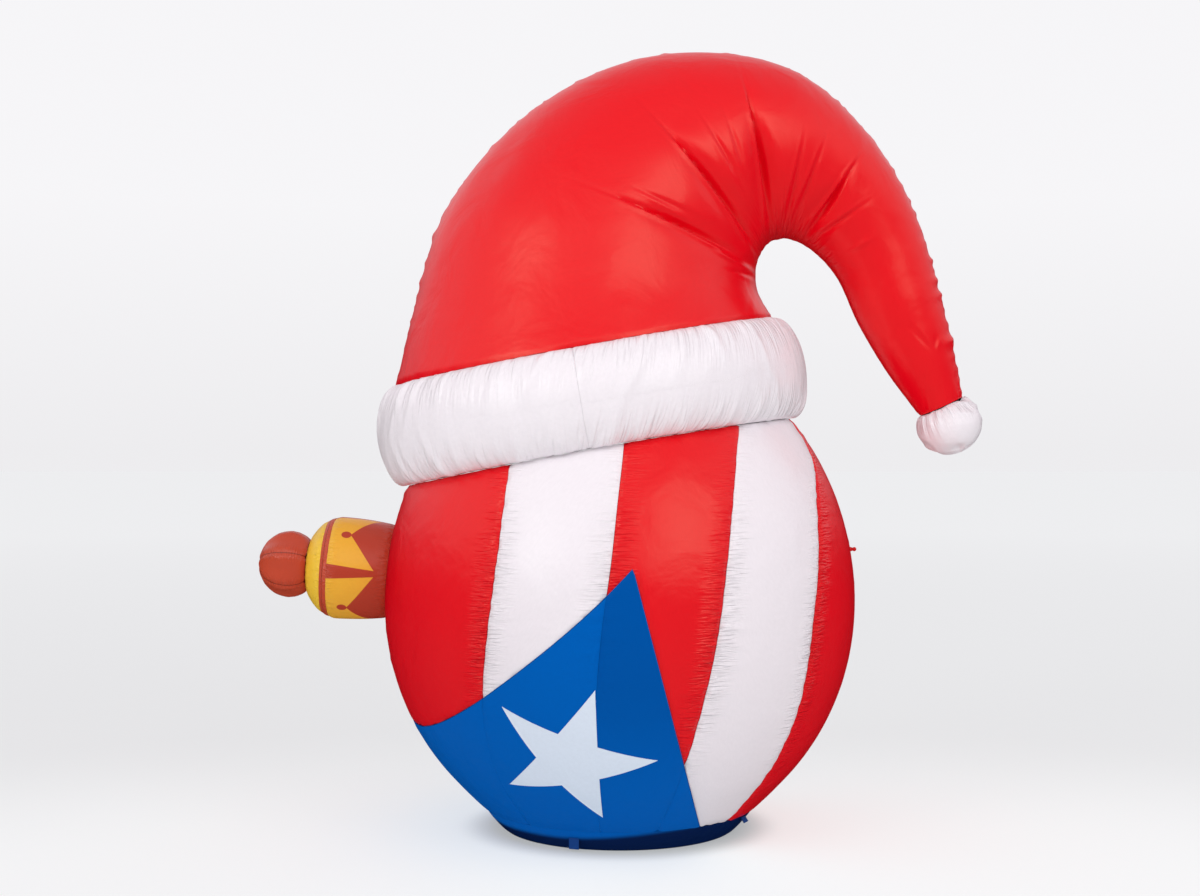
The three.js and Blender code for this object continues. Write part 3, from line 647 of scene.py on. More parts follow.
# The outline runs straight from each point to the next notch. The grid shrinks it towards the star's middle.
angles = np.radians(STAR["tilt"] + 36 * np.arange(11))
reaches = STAR["radius"] * np.where(np.arange(11) % 2 == 0, 1, STAR["inner"])
corners = np.linspace(0, 10, 161)
rim_across = np.interp(corners, np.arange(11), reaches * np.cos(angles))
rim_up = np.interp(corners, np.arange(11), reaches * np.sin(angles))
grow = 1 - np.linspace(0, 1, 31)
across, up = rim_across[:, None] * grow, rim_up[:, None] * grow
plain, normal = star_points(across, up)

# The star's taffeta is a bluish white, and less glossy than the white gores.
star_cloth = taffeta("star_taffeta", "#e6f2ff", gloss=0.2)
star = lay_sheet("star_on_ball", plain + STAR["lift"] * normal, wrap=True, thick=STAR_CLOTH,
                 uv=np.stack([across, up], axis=-1))
hand_over(star, "star", "star_cloth", star_cloth, flat=(0.37, 0.36), area=0.0402)


# Base panel. A round sole of the same blue cloth with a low wall, sewn to the foot of the gores. It lies flat
# on the ground under the weight of the ball.
BASE_FOOT = 0.268
BASE_RIM = BALL["base"] - GAP
# The deep navy is painted shade at the panel's foot.
PAINTED_SHADE_NAVY = "#081f4c"
sole_rows, wall_rows = 24, 12
profile = [(BASE_FOOT * i / sole_rows, 0) for i in range(sole_rows)]
for i in range(wall_rows + 1):
    up = i / wall_rows
    profile.append((BASE_FOOT + (float(ball_radius(BASE_RIM)) - BASE_FOOT) * up**0.85, BASE_RIM * up))
profile = np.array(profile)
# Rings of cloth are closed at the back, where the two ends of a pattern meet out of sight.
turns = np.linspace(-math.pi, math.pi, 241)[:, None]
radius, height = profile[:, 0], profile[:, 1]
plain = np.stack([radius * np.sin(turns), -radius * np.cos(turns), height + 0 * turns], axis=-1)
girth = BASE_FOOT * turns + 0 * radius
below_rim = (BASE_RIM - height) + 0 * turns
raised = ridges(girth, below_rim, 400, height=0.0012 * (height > 0), pitch=0.032, reach=0.045)
sunk = groove(girth, below_rim, 401, share=0.3)
drawn = plain + normals_of(plain) * (raised - sunk)[..., None]
drawn[:, 0] = plain[:, 0]
drawn[..., 2] = np.maximum(drawn[..., 2], 0)
drawn[-1] = drawn[0]

# The panel is the ball's blue above a slanting edge, which climbs to the right, and deep navy under it:
# painted shade where the panel's foot meets the ground.
base_cloth = taffeta("blue_base_taffeta_painted_shade", "#0062bd", gloss=0.02)
tree = base_cloth.node_tree
place = put(tree, "ShaderNodeTexCoord")
spot = put(tree, "ShaderNodeSeparateXYZ", {"Vector": place.outputs["Object"]})
edge_height = put(tree, "ShaderNodeMapRange", {
    "Value": spot.outputs["X"], "From Min": -0.15, "From Max": 0.22, "To Min": 0.027, "To Max": 0.054},
    interpolation_type="SMOOTHSTEP")
under_edge = put(tree, "ShaderNodeMath", {
    0: edge_height.outputs["Result"], 1: spot.outputs["Z"]}, operation="SUBTRACT")
# Painted shade: the navy covers the panel under its slanting edge.
painted_shade_at_foot = put(tree, "ShaderNodeMapRange", {
    "Value": under_edge.outputs["Value"], "From Min": -0.010, "From Max": 0.006},
    interpolation_type="SMOOTHSTEP")
dye(base_cloth, PAINTED_SHADE_NAVY, painted_shade_at_foot.outputs["Result"])
base = lay_sheet("base_cloth", drawn, wrap=True)
hand_over(base, "base_panel", "blue_cloth", base_cloth, flat=(0.66, 0.66), area=0.3451)


# Stake tabs. Two short ends of folded polyester webbing, sewn to the base panel's wall, where ground stakes
# hold the ball down. The right one stands out from the wall.
STAKE_TAB = {"wide": 0.023, "thick": 0.003, "rounding": 0.0008}


def webbing(name, colour):
    """Woven polyester webbing, matt, with crosswise ribs 1.6 mm apart."""
    rib_pitch = 1.6e-3
    material, tree = new_material(name)
    place = put(tree, "ShaderNodeTexCoord")
    rib = put(tree, "ShaderNodeTexWave", {
        "Vector": place.outputs["Object"], "Scale": math.pi / 10 / rib_pitch}, bands_direction="Z")
    bump = put(tree, "ShaderNodeBump", {"Height": rib.outputs["Fac"], "Strength": 0.5, "Distance": 0.0005})
    surface = put(tree, "ShaderNodeBsdfPrincipled", {
        "Base Color": linear(colour), "Roughness": 0.7, "Specular IOR Level": 0.2,
        "Normal": bump.outputs["Normal"]})
    put(tree, "ShaderNodeOutputMaterial", {"Surface": surface.outputs["BSDF"]})
    return material


# Navy webbing, a little paler than the painted shade at the foot of the base panel, so that the tabs show
# against it.
navy_webbing = webbing("navy_webbing", "#0a4288")
stake_tabs = [
    {"node": "stake_tab_front", "turn": -20, "top": 0.031, "length": 0.025, "flare": 0},
    {"node": "stake_tab_right", "turn": 64, "top": 0.045, "length": 0.014, "flare": 35},
]
for tab in stake_tabs:
    bpy.ops.object.select_all(action="DESELECT")
    bpy.ops.mesh.primitive_cube_add(size=1)
    piece = bpy.context.object
    piece.name = piece.data.name = "webbing_" + tab["node"]
    piece.scale = (STAKE_TAB["wide"], STAKE_TAB["thick"], tab["length"])
    bpy.ops.object.transform_apply(scale=True)
    bevel = piece.modifiers.new("soft_edges", "BEVEL")
    bevel.width = STAKE_TAB["rounding"]
    bevel.segments = 3
    bpy.ops.object.modifier_apply(modifier=bevel.name)
    flare, turn = math.radians(tab["flare"]), math.radians(tab["turn"])
    reach = BASE_FOOT + (float(ball_radius(BASE_RIM)) - BASE_FOOT) * tab["top"] / BASE_RIM
    for vertex in piece.data.vertices:
        x, y, z = vertex.co.x, vertex.co.y - STAKE_TAB["thick"] / 2, vertex.co.z - tab["length"] / 2
        out = reach - y * math.cos(flare) - z * math.sin(flare)
        up = tab["top"] - y * math.sin(flare) + z * math.cos(flare)
        vertex.co = (
            x * math.cos(turn) + out * math.sin(turn), x * math.sin(turn) - out * math.cos(turn), up)
    bpy.ops.object.shade_smooth_by_angle(angle=math.radians(40))
    piece.data.materials.append(navy_webbing)
    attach(piece, "root")
    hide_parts(tab["node"])


# Brim. Two lengths of white cloth sewn end to end into a ring, and along both edges to the ball's top and the
# hat's foot. Air from the ball puffs it into a roll, and the sewing gathers it into long slanting puckers.
BRIM_ROWS = 50
brim_halves = [
    {"node": "brim_right", "from": BRIM["seam_turn"], "to": math.pi - BRIM["seam_turn"], "seed": 500},
    {"node": "brim_left", "from": math.pi - BRIM["seam_turn"], "to": 2 * math.pi + BRIM["seam_turn"],
     "seed": 520},
]


def tilted_out(turn, tilt):
    """Outwards in the tilted plane of one of the brim's rings."""
    return np.stack([np.cos(tilt) * np.sin(turn), -np.cos(turn), np.sin(tilt) * np.sin(turn)], axis=-1)


def brim_low(turn):
    """Points of the brim's lower ring, on the ball. The back is the front's mirror."""
    wanted = np.arcsin(np.sin(turn))

    def at(around):
        z = ball_top(around)
        return ball_radius(z) * np.sin(around), -ball_radius(z) * np.cos(around), z

    def short(around):
        x, y, _ = at(around)
        return np.arctan2(x - BRIM["low_x"], -y) < wanted

    x, y, z = at(bisect(short, np.full_like(turn, -math.pi / 2), np.full_like(turn, math.pi / 2)))
    return np.stack([x, np.where(np.cos(turn) < 0, -y, y), z], axis=-1)


def brim_points(turn, over):
    """Points of the plain brim: over runs from the lower ring, at -90 degrees, to the upper one, at 90."""
    share = (1 + np.sin(over)) / 2
    tilt = BRIM["low_tilt"] + (BRIM["top_tilt"] - BRIM["low_tilt"]) * share
    top = tilted_out(turn, BRIM["top_tilt"]) * BRIM["top_radius"]
    top = top + np.stack([BRIM["top_x"] + 0 * turn, 0 * turn,
                          BRIM["top_height"] - BRIM["top_dip"] * np.cos(turn) ** 2], axis=-1)
    low = brim_low(turn)
    puff = (BRIM["bulge"] * np.cos(over))[..., None]
    return low + (top - low) * share[..., None] + tilted_out(turn, tilt) * puff


for half in brim_halves:
    slit = GAP / 2 / BRIM["top_radius"]
    turns = np.linspace(half["from"] + slit, half["to"] - slit, 301)[:, None]
    overs = (crowded(BRIM_ROWS, 0.3) - 0.5) * math.pi
    plain = brim_points(turns + 0 * overs, overs + 0 * turns)
    middle_row = run_of(plain, 0)[:, BRIM_ROWS // 2]
    girth, rise = middle_row[:, None] + 0 * overs, run_of(plain, 1)
    end = girth[-1] - girth
    top = rise[:, -1:] - rise
    seed = half["seed"]
    slant = girth - rise * (0.30 + 0.40 * wander(girth, seed + 8, 0.20))
    raised = ridges(slant, rise, seed, height=0.0080, pitch=0.036, reach=0.085, lean=0.6, start=0.016)
    raised += ridges(slant, top, seed + 1, height=0.0075, pitch=0.034, reach=0.095, lean=0.6, start=0.020)
    raised += ridges(girth, rise, seed + 2, height=0.0020, pitch=0.015, reach=0.030, start=0.010)
    raised += ridges(girth, top, seed + 3, height=0.0016, pitch=0.014, reach=0.030, start=0.012)
    raised += ridges(rise, girth, seed + 4, height=0.0012, pitch=0.024, reach=0.04)
    raised += ridges(rise, end, seed + 5, height=0.0012, pitch=0.024, reach=0.04)
    sunk = groove(girth, rise, seed + 6, share=0.3) + groove(girth, top, seed + 7, share=0.4)
    sunk += groove(rise, girth, 530, share=0.8) + groove(rise, end, 530, share=0.8)
    pleat = pleats([(slant, rise, 0.030, 0.085, 0.0130), (slant, top, 0.028, 0.095, 0.0130)])
    drawn = plain + normals_of(plain) * (raised - sunk)[..., None]
    piece = lay_sheet("cloth_" + half["node"], drawn, np.minimum(rise, top), pleat=pleat)
    hand_over(piece, half["node"], "white_cloth", white_cloth, *cut_size(plain))


# Hat. Two shaped panels of red cloth, a front and a back, joined by an outer seam over the top and an inner
# seam under the bend. Folds run out from the bend where the full cloth turns over.
HAT_LIFT = 0.001
HAT_SETTLE = 0.2
HAT_BEND = {"at": 0.42, "spread": 0.22}
# Sections across the hat from its foot to its tip, in X and Z: where each meets the outer and the inner seam,
# and its depth to the front as a share of its half width.
ribs = [
    {"outer": (-0.5218, 1.0241), "inner": (0.3578, 1.1839), "depth": 1.0},
    {"outer": (-0.479, 1.209), "inner": (0.324, 1.248), "depth": 1.0},
    {"outer": (-0.408, 1.433), "inner": (0.320, 1.300), "depth": 1.0},
    {"outer": (-0.247, 1.635), "inner": (0.327, 1.328), "depth": 1.02},
    {"outer": (-0.031, 1.767), "inner": (0.338, 1.350), "depth": 1.06},
    {"outer": (0.188, 1.806), "inner": (0.355, 1.368), "depth": 1.1},
    {"outer": (0.398, 1.768), "inner": (0.378, 1.377), "depth": 1.1},
    {"outer": (0.546, 1.658), "inner": (0.410, 1.374), "depth": 1.08},
    {"outer": (0.650, 1.520), "inner": (0.455, 1.349), "depth": 1.04},
    {"outer": (0.713, 1.378), "inner": (0.510, 1.290), "depth": 1.0},
    {"outer": (0.755, 1.230), "inner": (0.565, 1.173), "depth": 1.0},
    {"outer": (0.783, 1.118), "inner": (0.635, 1.056), "depth": 1.0},
    {"outer": (0.805, 1.004), "inner": (0.708, 0.959), "depth": 1.0},
]
# Folds as seen from the front, in X and Z: where each starts, where it ends, its depth, its half width, and
# how far a ridge stands up beside it. The deep ones are those that the bend pushes in.
deep_folds = [
    {"from": (0.315, 1.332), "to": (0.101, 1.581), "depth": 0.026, "width": 0.028},
    {"from": (0.347, 1.373), "to": (0.290, 1.662), "depth": 0.032, "width": 0.026},
    {"from": (0.274, 1.312), "to": (0.010, 1.416), "depth": 0.022, "width": 0.026},
    {"from": (0.437, 1.380), "to": (0.521, 1.507), "depth": 0.019, "width": 0.022},
]
fine_folds = [
    {"from": (0.315, 1.332), "to": (0.085, 1.600), "depth": 0.0125, "width": 0.0060, "ridge": 0.006},
    {"from": (0.347, 1.373), "to": (0.280, 1.690), "depth": 0.0140, "width": 0.0060, "ridge": 0.006},
    {"from": (0.274, 1.312), "to": (-0.020, 1.428), "depth": 0.0120, "width": 0.0060, "ridge": 0.006},
    {"from": (0.437, 1.380), "to": (0.535, 1.530), "depth": 0.0110, "width": 0.0060, "ridge": 0.005},
    {"from": (0.377, 1.384), "to": (0.409, 1.567), "depth": 0.0045, "width": 0.0070, "ridge": 0.002},
    {"from": (0.273, 1.459), "to": (0.185, 1.605), "depth": 0.0045, "width": 0.0060, "ridge": 0.002},
    {"from": (0.272, 1.502), "to": (0.233, 1.618), "depth": 0.0037, "width": 0.0060, "ridge": 0.0015},
    {"from": (0.150, 1.393), "to": (0.033, 1.443), "depth": 0.0045, "width": 0.0060, "ridge": 0.002},
    {"from": (0.578, 1.364), "to": (0.530, 1.336), "depth": -0.0030, "width": 0.0070, "ridge": 0.0},
    {"from": (0.671, 1.158), "to": (0.719, 1.109), "depth": 0.0025, "width": 0.0050, "ridge": 0.0015},
    {"from": (0.730, 1.141), "to": (0.728, 1.109), "depth": 0.0025, "width": 0.0045, "ridge": 0.001},
    {"from": (0.300, 1.300), "to": (0.205, 1.322), "depth": 0.0045, "width": 0.0060, "ridge": 0.002},
    {"from": (0.310, 1.275), "to": (0.235, 1.280), "depth": 0.0037, "width": 0.0050, "ridge": 0.0015},
    {"from": (0.395, 1.392), "to": (0.455, 1.560), "depth": 0.0042, "width": 0.0065, "ridge": 0.002},
    {"from": (0.455, 1.365), "to": (0.560, 1.440), "depth": 0.0042, "width": 0.0060, "ridge": 0.002},
]
# Broad soft hollows of slack cloth: middle, half lengths, turn and depth.
hollows = [
    {"at": (0.11, 1.62), "half": (0.13, 0.07), "turn": 20, "depth": 0.010},
    {"at": (-0.285, 1.51), "half": (0.035, 0.12), "turn": -35, "depth": 0.006},
]


def fold_depth(x, z, folds, peak=0.4, fade=0.35):
    """Depth of straight folds at points seen from the front."""
    total = np.zeros_like(x)
    for fold in folds:
        start, run = np.array(fold["from"]), np.subtract(fold["to"], fold["from"])
        length = np.hypot(*run)
        along = ((x - start[0]) * run[0] + (z - start[1]) * run[1]) / length
        aside = ((x - start[0]) * run[1] - (z - start[1]) * run[0]) / length
        strength = np.exp(-(((along / length - peak) / fade) ** 2))
        width = fold["width"] * (1.35 - 0.8 * np.clip(along / length, 0, 1))
        total += strength * fold["depth"] * np.exp(-((aside / width) ** 2))
        beside = np.exp(-(((aside + 1.9 * width) / (0.9 * width)) ** 2))
        total -= strength * fold.get("ridge", 0) * beside
    return total


def hollow_depth(x, z):
    """Depth of the soft hollows at points seen from the front."""
    total = np.zeros_like(x)
    for hollow in hollows:
        c, s = math.cos(math.radians(hollow["turn"])), math.sin(math.radians(hollow["turn"]))
        dx, dz = x - hollow["at"][0], z - hollow["at"][1]
        far = ((dx * c + dz * s) / hollow["half"][0]) ** 2 + ((dz * c - dx * s) / hollow["half"][1]) ** 2
        total += hollow["depth"] * np.exp(-far)
    return total


def flowing(points, share):
    """Centripetal Catmull-Rom curve through points, read at shares of its length counted in points."""
    points = np.asarray(points, float)
    points = np.vstack([2 * points[0] - points[1], points, 2 * points[-1] - points[-2]])
    place = share * (len(points) - 3)
    i = np.minimum(place.astype(int), len(points) - 4)
    t = (place - i)[:, None]
    p0, p1, p2, p3 = (points[i + n] for n in range(4))
    pairs = ((p0, p1), (p1, p2), (p2, p3))
    d0, d1, d2 = (np.sqrt(np.linalg.norm(b - a, axis=1))[:, None] for a, b in pairs)
    start = ((p1 - p0) / d0 - (p2 - p0) / (d0 + d1) + (p2 - p1) / d1) * d1
    end = ((p2 - p1) / d1 - (p3 - p1) / (d1 + d2) + (p3 - p2) / d2) * d1
    rise = p2 - p1
    return p1 + start * t + (3 * rise - 2 * start - end) * t**2 + (start + end - 2 * rise) * t**3


rounds = crowded(96, 0.35) * math.pi
downs = np.linspace(0, 1, 401)
outer = flowing([rib["outer"] for rib in ribs], downs)
inner = flowing([rib["inner"] for rib in ribs], downs)
middle, half = (outer + inner) / 2, (inner - outer) / 2
rib_depth = smooth(downs, np.linspace(0, 1, len(ribs)), [rib["depth"] for rib in ribs])
depth = np.linalg.norm(half, axis=1) * rib_depth
x = middle[:, 0] - np.cos(rounds)[:, None] * half[:, 0]
z = middle[:, 1] - np.cos(rounds)[:, None] * half[:, 1]
around = np.sin(rounds)[:, None]
crease = fold_depth(x, z, deep_folds) * around
settle = BRIM["top_dip"] * around**2 * np.maximum(1 - downs / HAT_SETTLE, 0) ** 2
hat_plain = np.stack([x, -(depth - crease) * around - GAP / 2, z - settle + HAT_LIFT], axis=-1)
for side, node, seed in ((1, "hat_front", 600), (-1, "hat_back", 640)):
    plain = hat_plain * np.array([1, side, 1])
    length = run_of(plain, 1)
    girth = run_of(plain, 0)
    from_outer, from_inner = girth, girth[-1] - girth
    outer_run, inner_run = length[:1] + 0 * girth, length[-1:] + 0 * girth
    to_tip, from_foot = length[:, -1:] - length, length
    bend = np.exp(-(((downs - HAT_BEND["at"]) / HAT_BEND["spread"]) ** 2))
    raised = ridges(outer_run, from_outer, seed, height=0.0030, pitch=0.026, reach=0.036)
    raised += ridges(outer_run, from_outer, 680, height=0.0062, pitch=0.027, reach=0.055, lean=0, start=0.001)
    raised += ridges(inner_run, from_inner, seed + 1, height=0.0018 * (0.2 + bend), pitch=0.020, reach=0.060)
    raised += ridges(girth, from_foot, seed + 2, height=0.0022, pitch=0.030, reach=0.045)
    raised += ridges(girth, to_tip, seed + 3, height=0.0022, pitch=0.016, reach=0.045)
    raised -= fold_depth(x, z, fine_folds, peak=0.45, fade=0.42) * np.minimum(around * 1.5, 1)
    raised -= hollow_depth(x, z)
    sunk = groove(outer_run, from_outer, 690, scallop=0.9, pitch=0.026)
    sunk += groove(inner_run, from_inner, 691, share=0.2)
    sunk += groove(girth, from_foot, seed + 6) + groove(girth, to_tip, seed + 7, share=0.3)
    edge = np.minimum(from_outer, from_foot)
    drawn = plain + normals_of(plain) * side * (raised - sunk)[..., None]
    turned = slice(None) if side > 0 else slice(None, None, -1)
    pleat = pleats([(outer_run, from_outer, 0.016, 0.035, 0.008),
                    (inner_run, from_inner, 0.013, 0.03 + 0.16 * bend, 0.002 + 0.008 * bend)])
    piece = lay_sheet("cloth_" + node, drawn[turned], edge[turned], pleat=pleat[turned])
    hand_over(piece, node, "red_cloth", red_cloth, *cut_size(plain))


# Pompom. A round bag of the white cloth, its open neck gathered and sewn over the hat's tip. It stands square
# on the hat's last section, and its loose cloth keeps a few crumples.
POMPOM = {"across": 0.077, "along": 0.068}
tip_outer, tip_inner = np.array(ribs[-1]["outer"]), np.array(ribs[-1]["inner"])
tip_width = float(np.linalg.norm(tip_outer - tip_inner))
tip_out = np.insert((tip_outer - tip_inner) / tip_width, 1, 0)
tip_down = np.array([tip_out[2], 0, -tip_out[0]])
neck = math.acos(tip_width / 2 / POMPOM["across"])
pompom_middle = np.insert((tip_outer + tip_inner) / 2, 1, 0) + [0, 0, HAT_LIFT]
pompom_middle += tip_down * (POMPOM["along"] * math.sin(neck) + 2 * GAP)
turns = np.linspace(-math.pi, math.pi, 141)[:, None]
downs = math.pi / 2 - (math.pi / 2 + neck) * np.linspace(0, 1, 49)
reach = POMPOM["across"] * np.cos(downs)
plain = pompom_middle + (POMPOM["along"] * np.sin(downs))[:, None] * tip_down + (
    reach * np.sin(turns))[..., None] * tip_out + (reach * np.cos(turns))[..., None] * np.array([0, -1, 0])
girth = POMPOM["across"] * turns + 0 * downs
from_neck = run_of(plain, 1)
from_neck = from_neck[:, -1:] - from_neck
close = np.minimum((math.pi - np.abs(turns)) / 0.5, 1) * np.ones_like(girth)
raised = ridges(girth, from_neck, 701, height=0.0050 * close, pitch=0.026, reach=0.055)
raised += ridges(girth, from_neck, 702, height=0.0028 * close, pitch=0.012, reach=0.030)
crumple = np.abs(wander(girth + 0.8 * from_neck, 704, 0.040) * wander(from_neck - 0.5 * girth, 705, 0.034))
raised -= 0.0110 * crumple * close * np.minimum(reach / 0.03, 1)
sunk = groove(girth, from_neck, 703, share=0.4)
drawn = plain + normals_of(plain) * (raised - sunk)[..., None]
drawn[:, 0], drawn[-1] = plain[:, 0], drawn[0]
pompom = lay_sheet("cloth_pompom", drawn, wrap=True, pleat=pleats([(girth, from_neck, 0.012, 0.05, 0.010)]))
hand_over(pompom, "pompom", "white_cloth", white_cloth, flat=(0.484, 0.18), area=0.0553)


# Cap. A short tube of yellow cloth printed with a brown crown, sewn round its root to the ball's left side. A
# brown band and a domed yellow end close it, and air fills it from the ball.
CAP = {"x": -0.541, "height": 0.5948, "rise": math.radians(4), "root": 0.110, "widest": 0.119,
       "wide_at": 0.111, "dome": 0.089}
BAND_START, BAND_END = 0.131, 0.148
NECK = 0.060
YELLOW, BROWN, CROWN = "#fbbd36", "#cd4c30", "#c04229"
cap_axis = np.array([-math.cos(CAP["rise"]), 0, math.sin(CAP["rise"])])
cap_up = np.array([math.sin(CAP["rise"]), 0, math.cos(CAP["rise"])])


def cap_radius(along):
    """Radius of the cap along its axis: it widens from its root, then rounds in as a dome."""
    near = CAP["widest"] - (CAP["widest"] - CAP["root"]) * (1 - along / CAP["wide_at"]) ** 2
    far = CAP["widest"] * np.sqrt(np.maximum(1 - ((along - CAP["wide_at"]) / CAP["dome"]) ** 2, 0))
    return np.where(along < CAP["wide_at"], near, far)


def about_cap(turn, along, radius):
    """Points about the cap's axis: the turn is 0 at the front and grows upwards."""
    return (np.array([CAP["x"], 0, CAP["height"]]) + along[..., None] * cap_axis
            + (radius * np.sin(turn))[..., None] * cap_up
            + (radius * np.cos(turn))[..., None] * np.array([0, -1, 0]))


def cap_clear(along, turn):
    """True outside the ball."""
    point = about_cap(turn, along, cap_radius(along))
    around = np.arctan2(point[..., 0], np.abs(point[..., 1]))
    left, right = seam_turn(0, point[..., 2]), seam_turn(1, point[..., 2])
    _, skin_radius = gore_place(0, (around - left) / (right - left), point[..., 2])
    return np.hypot(point[..., 0], point[..., 1]) - skin_radius - 2 * GAP > 0


def cap_sheet(node, slot, material, start, end, rows, seed, flat, area, height=0.0012):
    """One ring of the cap's cloth from start to end along its axis, ridged at both edges."""
    turns = np.linspace(-math.pi, math.pi, 241)[:, None]
    along = start + (end - start) * np.linspace(0, 1, rows + 1)
    plain = about_cap(turns + 0 * along, along, cap_radius(along))
    girth = CAP["widest"] * turns + 0 * along
    low, high = run_of(plain, 1), run_of(plain, 1)[:, -1:] - run_of(plain, 1)
    close = np.minimum((math.pi - np.abs(turns)) / 0.4, 1)
    raised = ridges(girth, low, seed, height=height * close, pitch=0.020, reach=0.026)
    raised += ridges(girth, high, seed + 1, height=height * close, pitch=0.017, reach=0.026)
    sunk = groove(girth, low, seed + 2, share=0.35) + groove(girth, high, seed + 3, share=0.35)
    drawn = plain + normals_of(plain) * (raised - sunk)[..., None]
    drawn[-1] = drawn[0]
    uv = np.stack([turns / (2 * math.pi) + 0 * along, along + 0 * turns], axis=-1)
    pleat = pleats([(girth, away, 0.010, 0.022, 0.005) for away in (low, high)])
    piece = lay_sheet("cloth_" + node, drawn, wrap=True, uv=uv, pleat=pleat)
    # The ball's cloth is too uneven to mirror the cap.
    piece.visible_glossy = False
    hand_over(piece, node, slot, material, flat, area)


# The cap is the same taffeta, dyed yellow and brown, with the white gores' satin gloss.
yellow_cloth = taffeta("yellow_taffeta", "#ffd03c")
brown_cloth = taffeta("brown_taffeta", BROWN)

# The wall's print: a brown crown with four points about the cap's root, a ball on each point, and from each
# valley a strap that widens towards the band. Along the cap, and to half a width, in millimetres.
PRINT = {"points": 4, "first_valley": -0.5, "valley": 17.0, "point": 84.0, "neck": 1.6, "ball": 94.0,
         "ball_long": 11.5, "ball_wide": 10.0, "strap_narrow": 7.0, "strap_wide": 17.5, "blur": 0.4}
period = 360.0 / PRINT["points"]
round_mm = math.radians(1) * CAP["widest"] * 1000
climb = (PRINT["point"] - PRINT["valley"]) / (period / 2)
widening = (PRINT["strap_wide"] - PRINT["strap_narrow"]) / (BAND_START * 1000 - PRINT["valley"])
printed_cloth = taffeta("printed_taffeta", YELLOW)
tree = printed_cloth.node_tree
uv = put(tree, "ShaderNodeUVMap")
place = put(tree, "ShaderNodeSeparateXYZ", {"Vector": uv.outputs["UV"]})
# Each value of the print: its name, how it is worked out, and from which values or numbers. Turns are in
# degrees and the rest in millimetres. A value whose name starts with "in" is positive inside that form.
values = {"u": place.outputs["X"], "v": place.outputs["Y"]}
steps = [
    ("along", "MULTIPLY", "v", 1000.0),
    ("turn", "MULTIPLY_ADD", "u", 360.0, period / 2 - PRINT["first_valley"]),
    ("turn_in_period", "FLOORED_MODULO", "turn", period),
    ("past_valley", "SUBTRACT", "turn_in_period", period / 2),
    ("from_valley", "ABSOLUTE", "past_valley"),
    ("from_point", "SUBTRACT", period / 2, "from_valley"),
    ("beside_valley", "MULTIPLY", "from_valley", round_mm),
    ("beside_point", "MULTIPLY", "from_point", round_mm),
    ("crown_edge", "MULTIPLY_ADD", "from_valley", climb, PRINT["valley"]),
    ("in_crown", "SUBTRACT", "crown_edge", "along"),
    ("strap_edge", "MULTIPLY_ADD", "along", widening, PRINT["strap_narrow"] - widening * PRINT["valley"]),
    ("in_strap", "SUBTRACT", "strap_edge", "beside_valley"),
    ("past_ball", "SUBTRACT", "along", PRINT["ball"]),
    ("ball_x", "DIVIDE", "past_ball", PRINT["ball_long"]),
    ("ball_y", "DIVIDE", "beside_point", PRINT["ball_wide"]),
    ("ball_x_squared", "MULTIPLY", "ball_x", "ball_x"),
    ("from_ball_squared", "MULTIPLY_ADD", "ball_y", "ball_y", "ball_x_squared"),
    ("from_ball", "SQRT", "from_ball_squared"),
    ("share_of_ball", "SUBTRACT", 1.0, "from_ball"),
    ("in_ball", "MULTIPLY", "share_of_ball", PRINT["ball_wide"]),
    ("in_neck_width", "SUBTRACT", PRINT["neck"], "beside_point"),
    ("in_neck_length", "SUBTRACT", PRINT["ball"], "along"),
    ("in_neck", "MINIMUM", "in_neck_width", "in_neck_length"),
    ("in_crown_or_strap", "MAXIMUM", "in_crown", "in_strap"),
    ("in_ball_or_neck", "MAXIMUM", "in_ball", "in_neck"),
    ("in_print", "MAXIMUM", "in_crown_or_strap", "in_ball_or_neck"),
]
for name, operation, *terms in steps:
    feeds = {number: values.get(term, term) for number, term in enumerate(terms)}
    values[name] = put(tree, "ShaderNodeMath", feeds, operation=operation).outputs["Value"]
ink = put(tree, "ShaderNodeMapRange", {
    "Value": values["in_print"], "From Min": -PRINT["blur"], "From Max": PRINT["blur"]})
dye(printed_cloth, CROWN, ink.outputs["Result"])

# The wall's root follows the ball: where each line along the cap comes clear of the red cloth.
turns = np.linspace(-math.pi, math.pi, 241)
inside, outside = np.full_like(turns, -0.1), np.full_like(turns, CAP["wide_at"])
root = bisect(lambda along: ~cap_clear(along, turns), inside, outside)[:, None]
cap_end_at = CAP["wide_at"] + CAP["dome"] * math.sqrt(1 - (NECK / CAP["widest"]) ** 2)
cap_sheet("cap_wall", "yellow_cloth", printed_cloth, start=root, end=BAND_START - GAP / 2, rows=36, seed=800,
          flat=(0.76, 0.16), area=0.0995)
cap_sheet("cap_band", "brown_cloth", brown_cloth, start=BAND_START + GAP / 2, end=BAND_END - GAP / 2, rows=8,
          seed=810, flat=(0.73, 0.019), area=0.0132, height=0.0006)
cap_sheet("cap_end", "yellow_cloth", yellow_cloth, start=BAND_END + GAP / 2, end=cap_end_at, rows=14,
          seed=820, flat=(0.68, 0.065), area=0.0348)


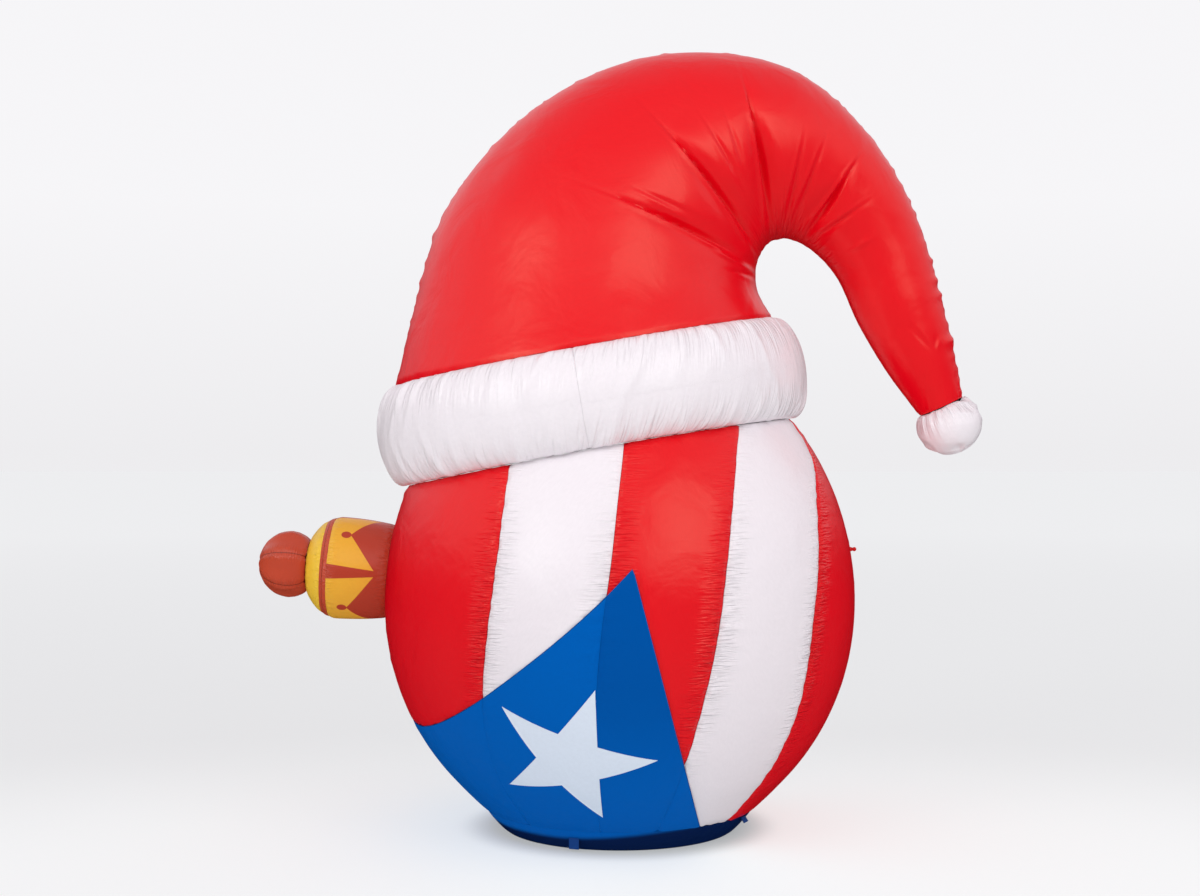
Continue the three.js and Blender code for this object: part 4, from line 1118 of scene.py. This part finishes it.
# Finial. A small ball of six brown gores, its open neck sewn round the end of the cap. Its seams draw it in,
# so that it is a little six-sided.
FINIAL = {"across": 0.0785, "along": 0.072, "gores": 6, "first_seam": math.radians(24), "pull": 0.09}
finial_neck = math.acos(NECK / FINIAL["across"])
finial_at = cap_end_at + GAP + FINIAL["along"] * math.sin(finial_neck)
turns = FINIAL["first_seam"] + np.linspace(0, 2 * math.pi, 145)[:, None]
rises = -finial_neck + (math.pi / 2 + finial_neck) * np.linspace(0, 1, 43)
wave = np.cos(FINIAL["gores"] * (turns - FINIAL["first_seam"]))
from_neck = FINIAL["along"] * (rises + finial_neck)
pull = FINIAL["pull"] * (1 - 0.7 * np.exp(-(from_neck / 0.03) ** 2))
radius = FINIAL["across"] * np.cos(rises) * (1 - pull * (1 - wave) / 2)
plain = about_cap(turns + 0 * rises, finial_at + FINIAL["along"] * np.sin(rises) + 0 * turns, radius)
period = 2 * math.pi / FINIAL["gores"]
from_seam = np.abs((turns - FINIAL["first_seam"] + period / 2) % period - period / 2) * radius
run = run_of(plain, 1)
girth = FINIAL["across"] * turns + 0 * rises
raised = ridges(run, from_seam, 850, height=0.0010 * np.minimum(radius / 0.03, 1), pitch=0.014, reach=0.016)
sunk = groove(run, from_seam, 851, share=0.8) + groove(girth, run, 852, share=0.3)
drawn = plain + normals_of(plain) * (raised - sunk)[..., None]
drawn[:, -1], drawn[-1] = plain[:, -1], drawn[0]
pleat = pleats([(run, from_seam, 0.009, 0.018, 0.005)])
finial = lay_sheet("cloth_finial", drawn, from_seam, wrap=True, pleat=pleat)
hand_over(finial, "finial", "brown_cloth", brown_cloth, flat=(0.487, 0.16), area=0.054)


# Tether tab. A short tapered strap of red polyester webbing, sewn into the right side seam and knotted at its
# end, where a guy line holds the ball against the wind.
TETHER = {"height": 0.646, "wide": 0.015, "neck": 0.006, "reach": 0.013, "knot": 0.005, "thick": 0.003,
          "in_knot": 0.002, "rounding": 0.0008}
red_webbing = webbing("red_webbing", "#d8201f")
start = float(ball_radius(TETHER["height"])) + 3 * GAP
bpy.ops.object.select_all(action="DESELECT")
bpy.ops.mesh.primitive_cube_add(size=1)
tab = bpy.context.object
tab.name = tab.data.name = "webbing_tether_tab"
for vertex in tab.data.vertices:
    outer_end = vertex.co.x > 0
    tall = TETHER["neck"] if outer_end else TETHER["wide"]
    reach = TETHER["reach"] + TETHER["in_knot"] if outer_end else 0
    vertex.co = (start + reach, vertex.co.y * TETHER["thick"], TETHER["height"] + vertex.co.z * tall)
bevel = tab.modifiers.new("soft_edges", "BEVEL")
bevel.width = TETHER["rounding"]
bevel.segments = 3
bpy.ops.object.modifier_apply(modifier=bevel.name)
bpy.ops.mesh.primitive_uv_sphere_add(
    segments=24, ring_count=12, radius=TETHER["knot"],
    location=(start + TETHER["reach"] + TETHER["knot"] * 0.8, 0, TETHER["height"]))
knot = bpy.context.object
knot.scale = (1, 0.7, 1)
bpy.ops.object.transform_apply(location=True, scale=True)
tab.select_set(True)
bpy.context.view_layer.objects.active = tab
bpy.ops.object.join()
bpy.ops.object.shade_smooth_by_angle(angle=math.radians(40))
tab.data.materials.clear()
tab.data.materials.append(red_webbing)
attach(tab, "root")
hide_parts("tether_tab")
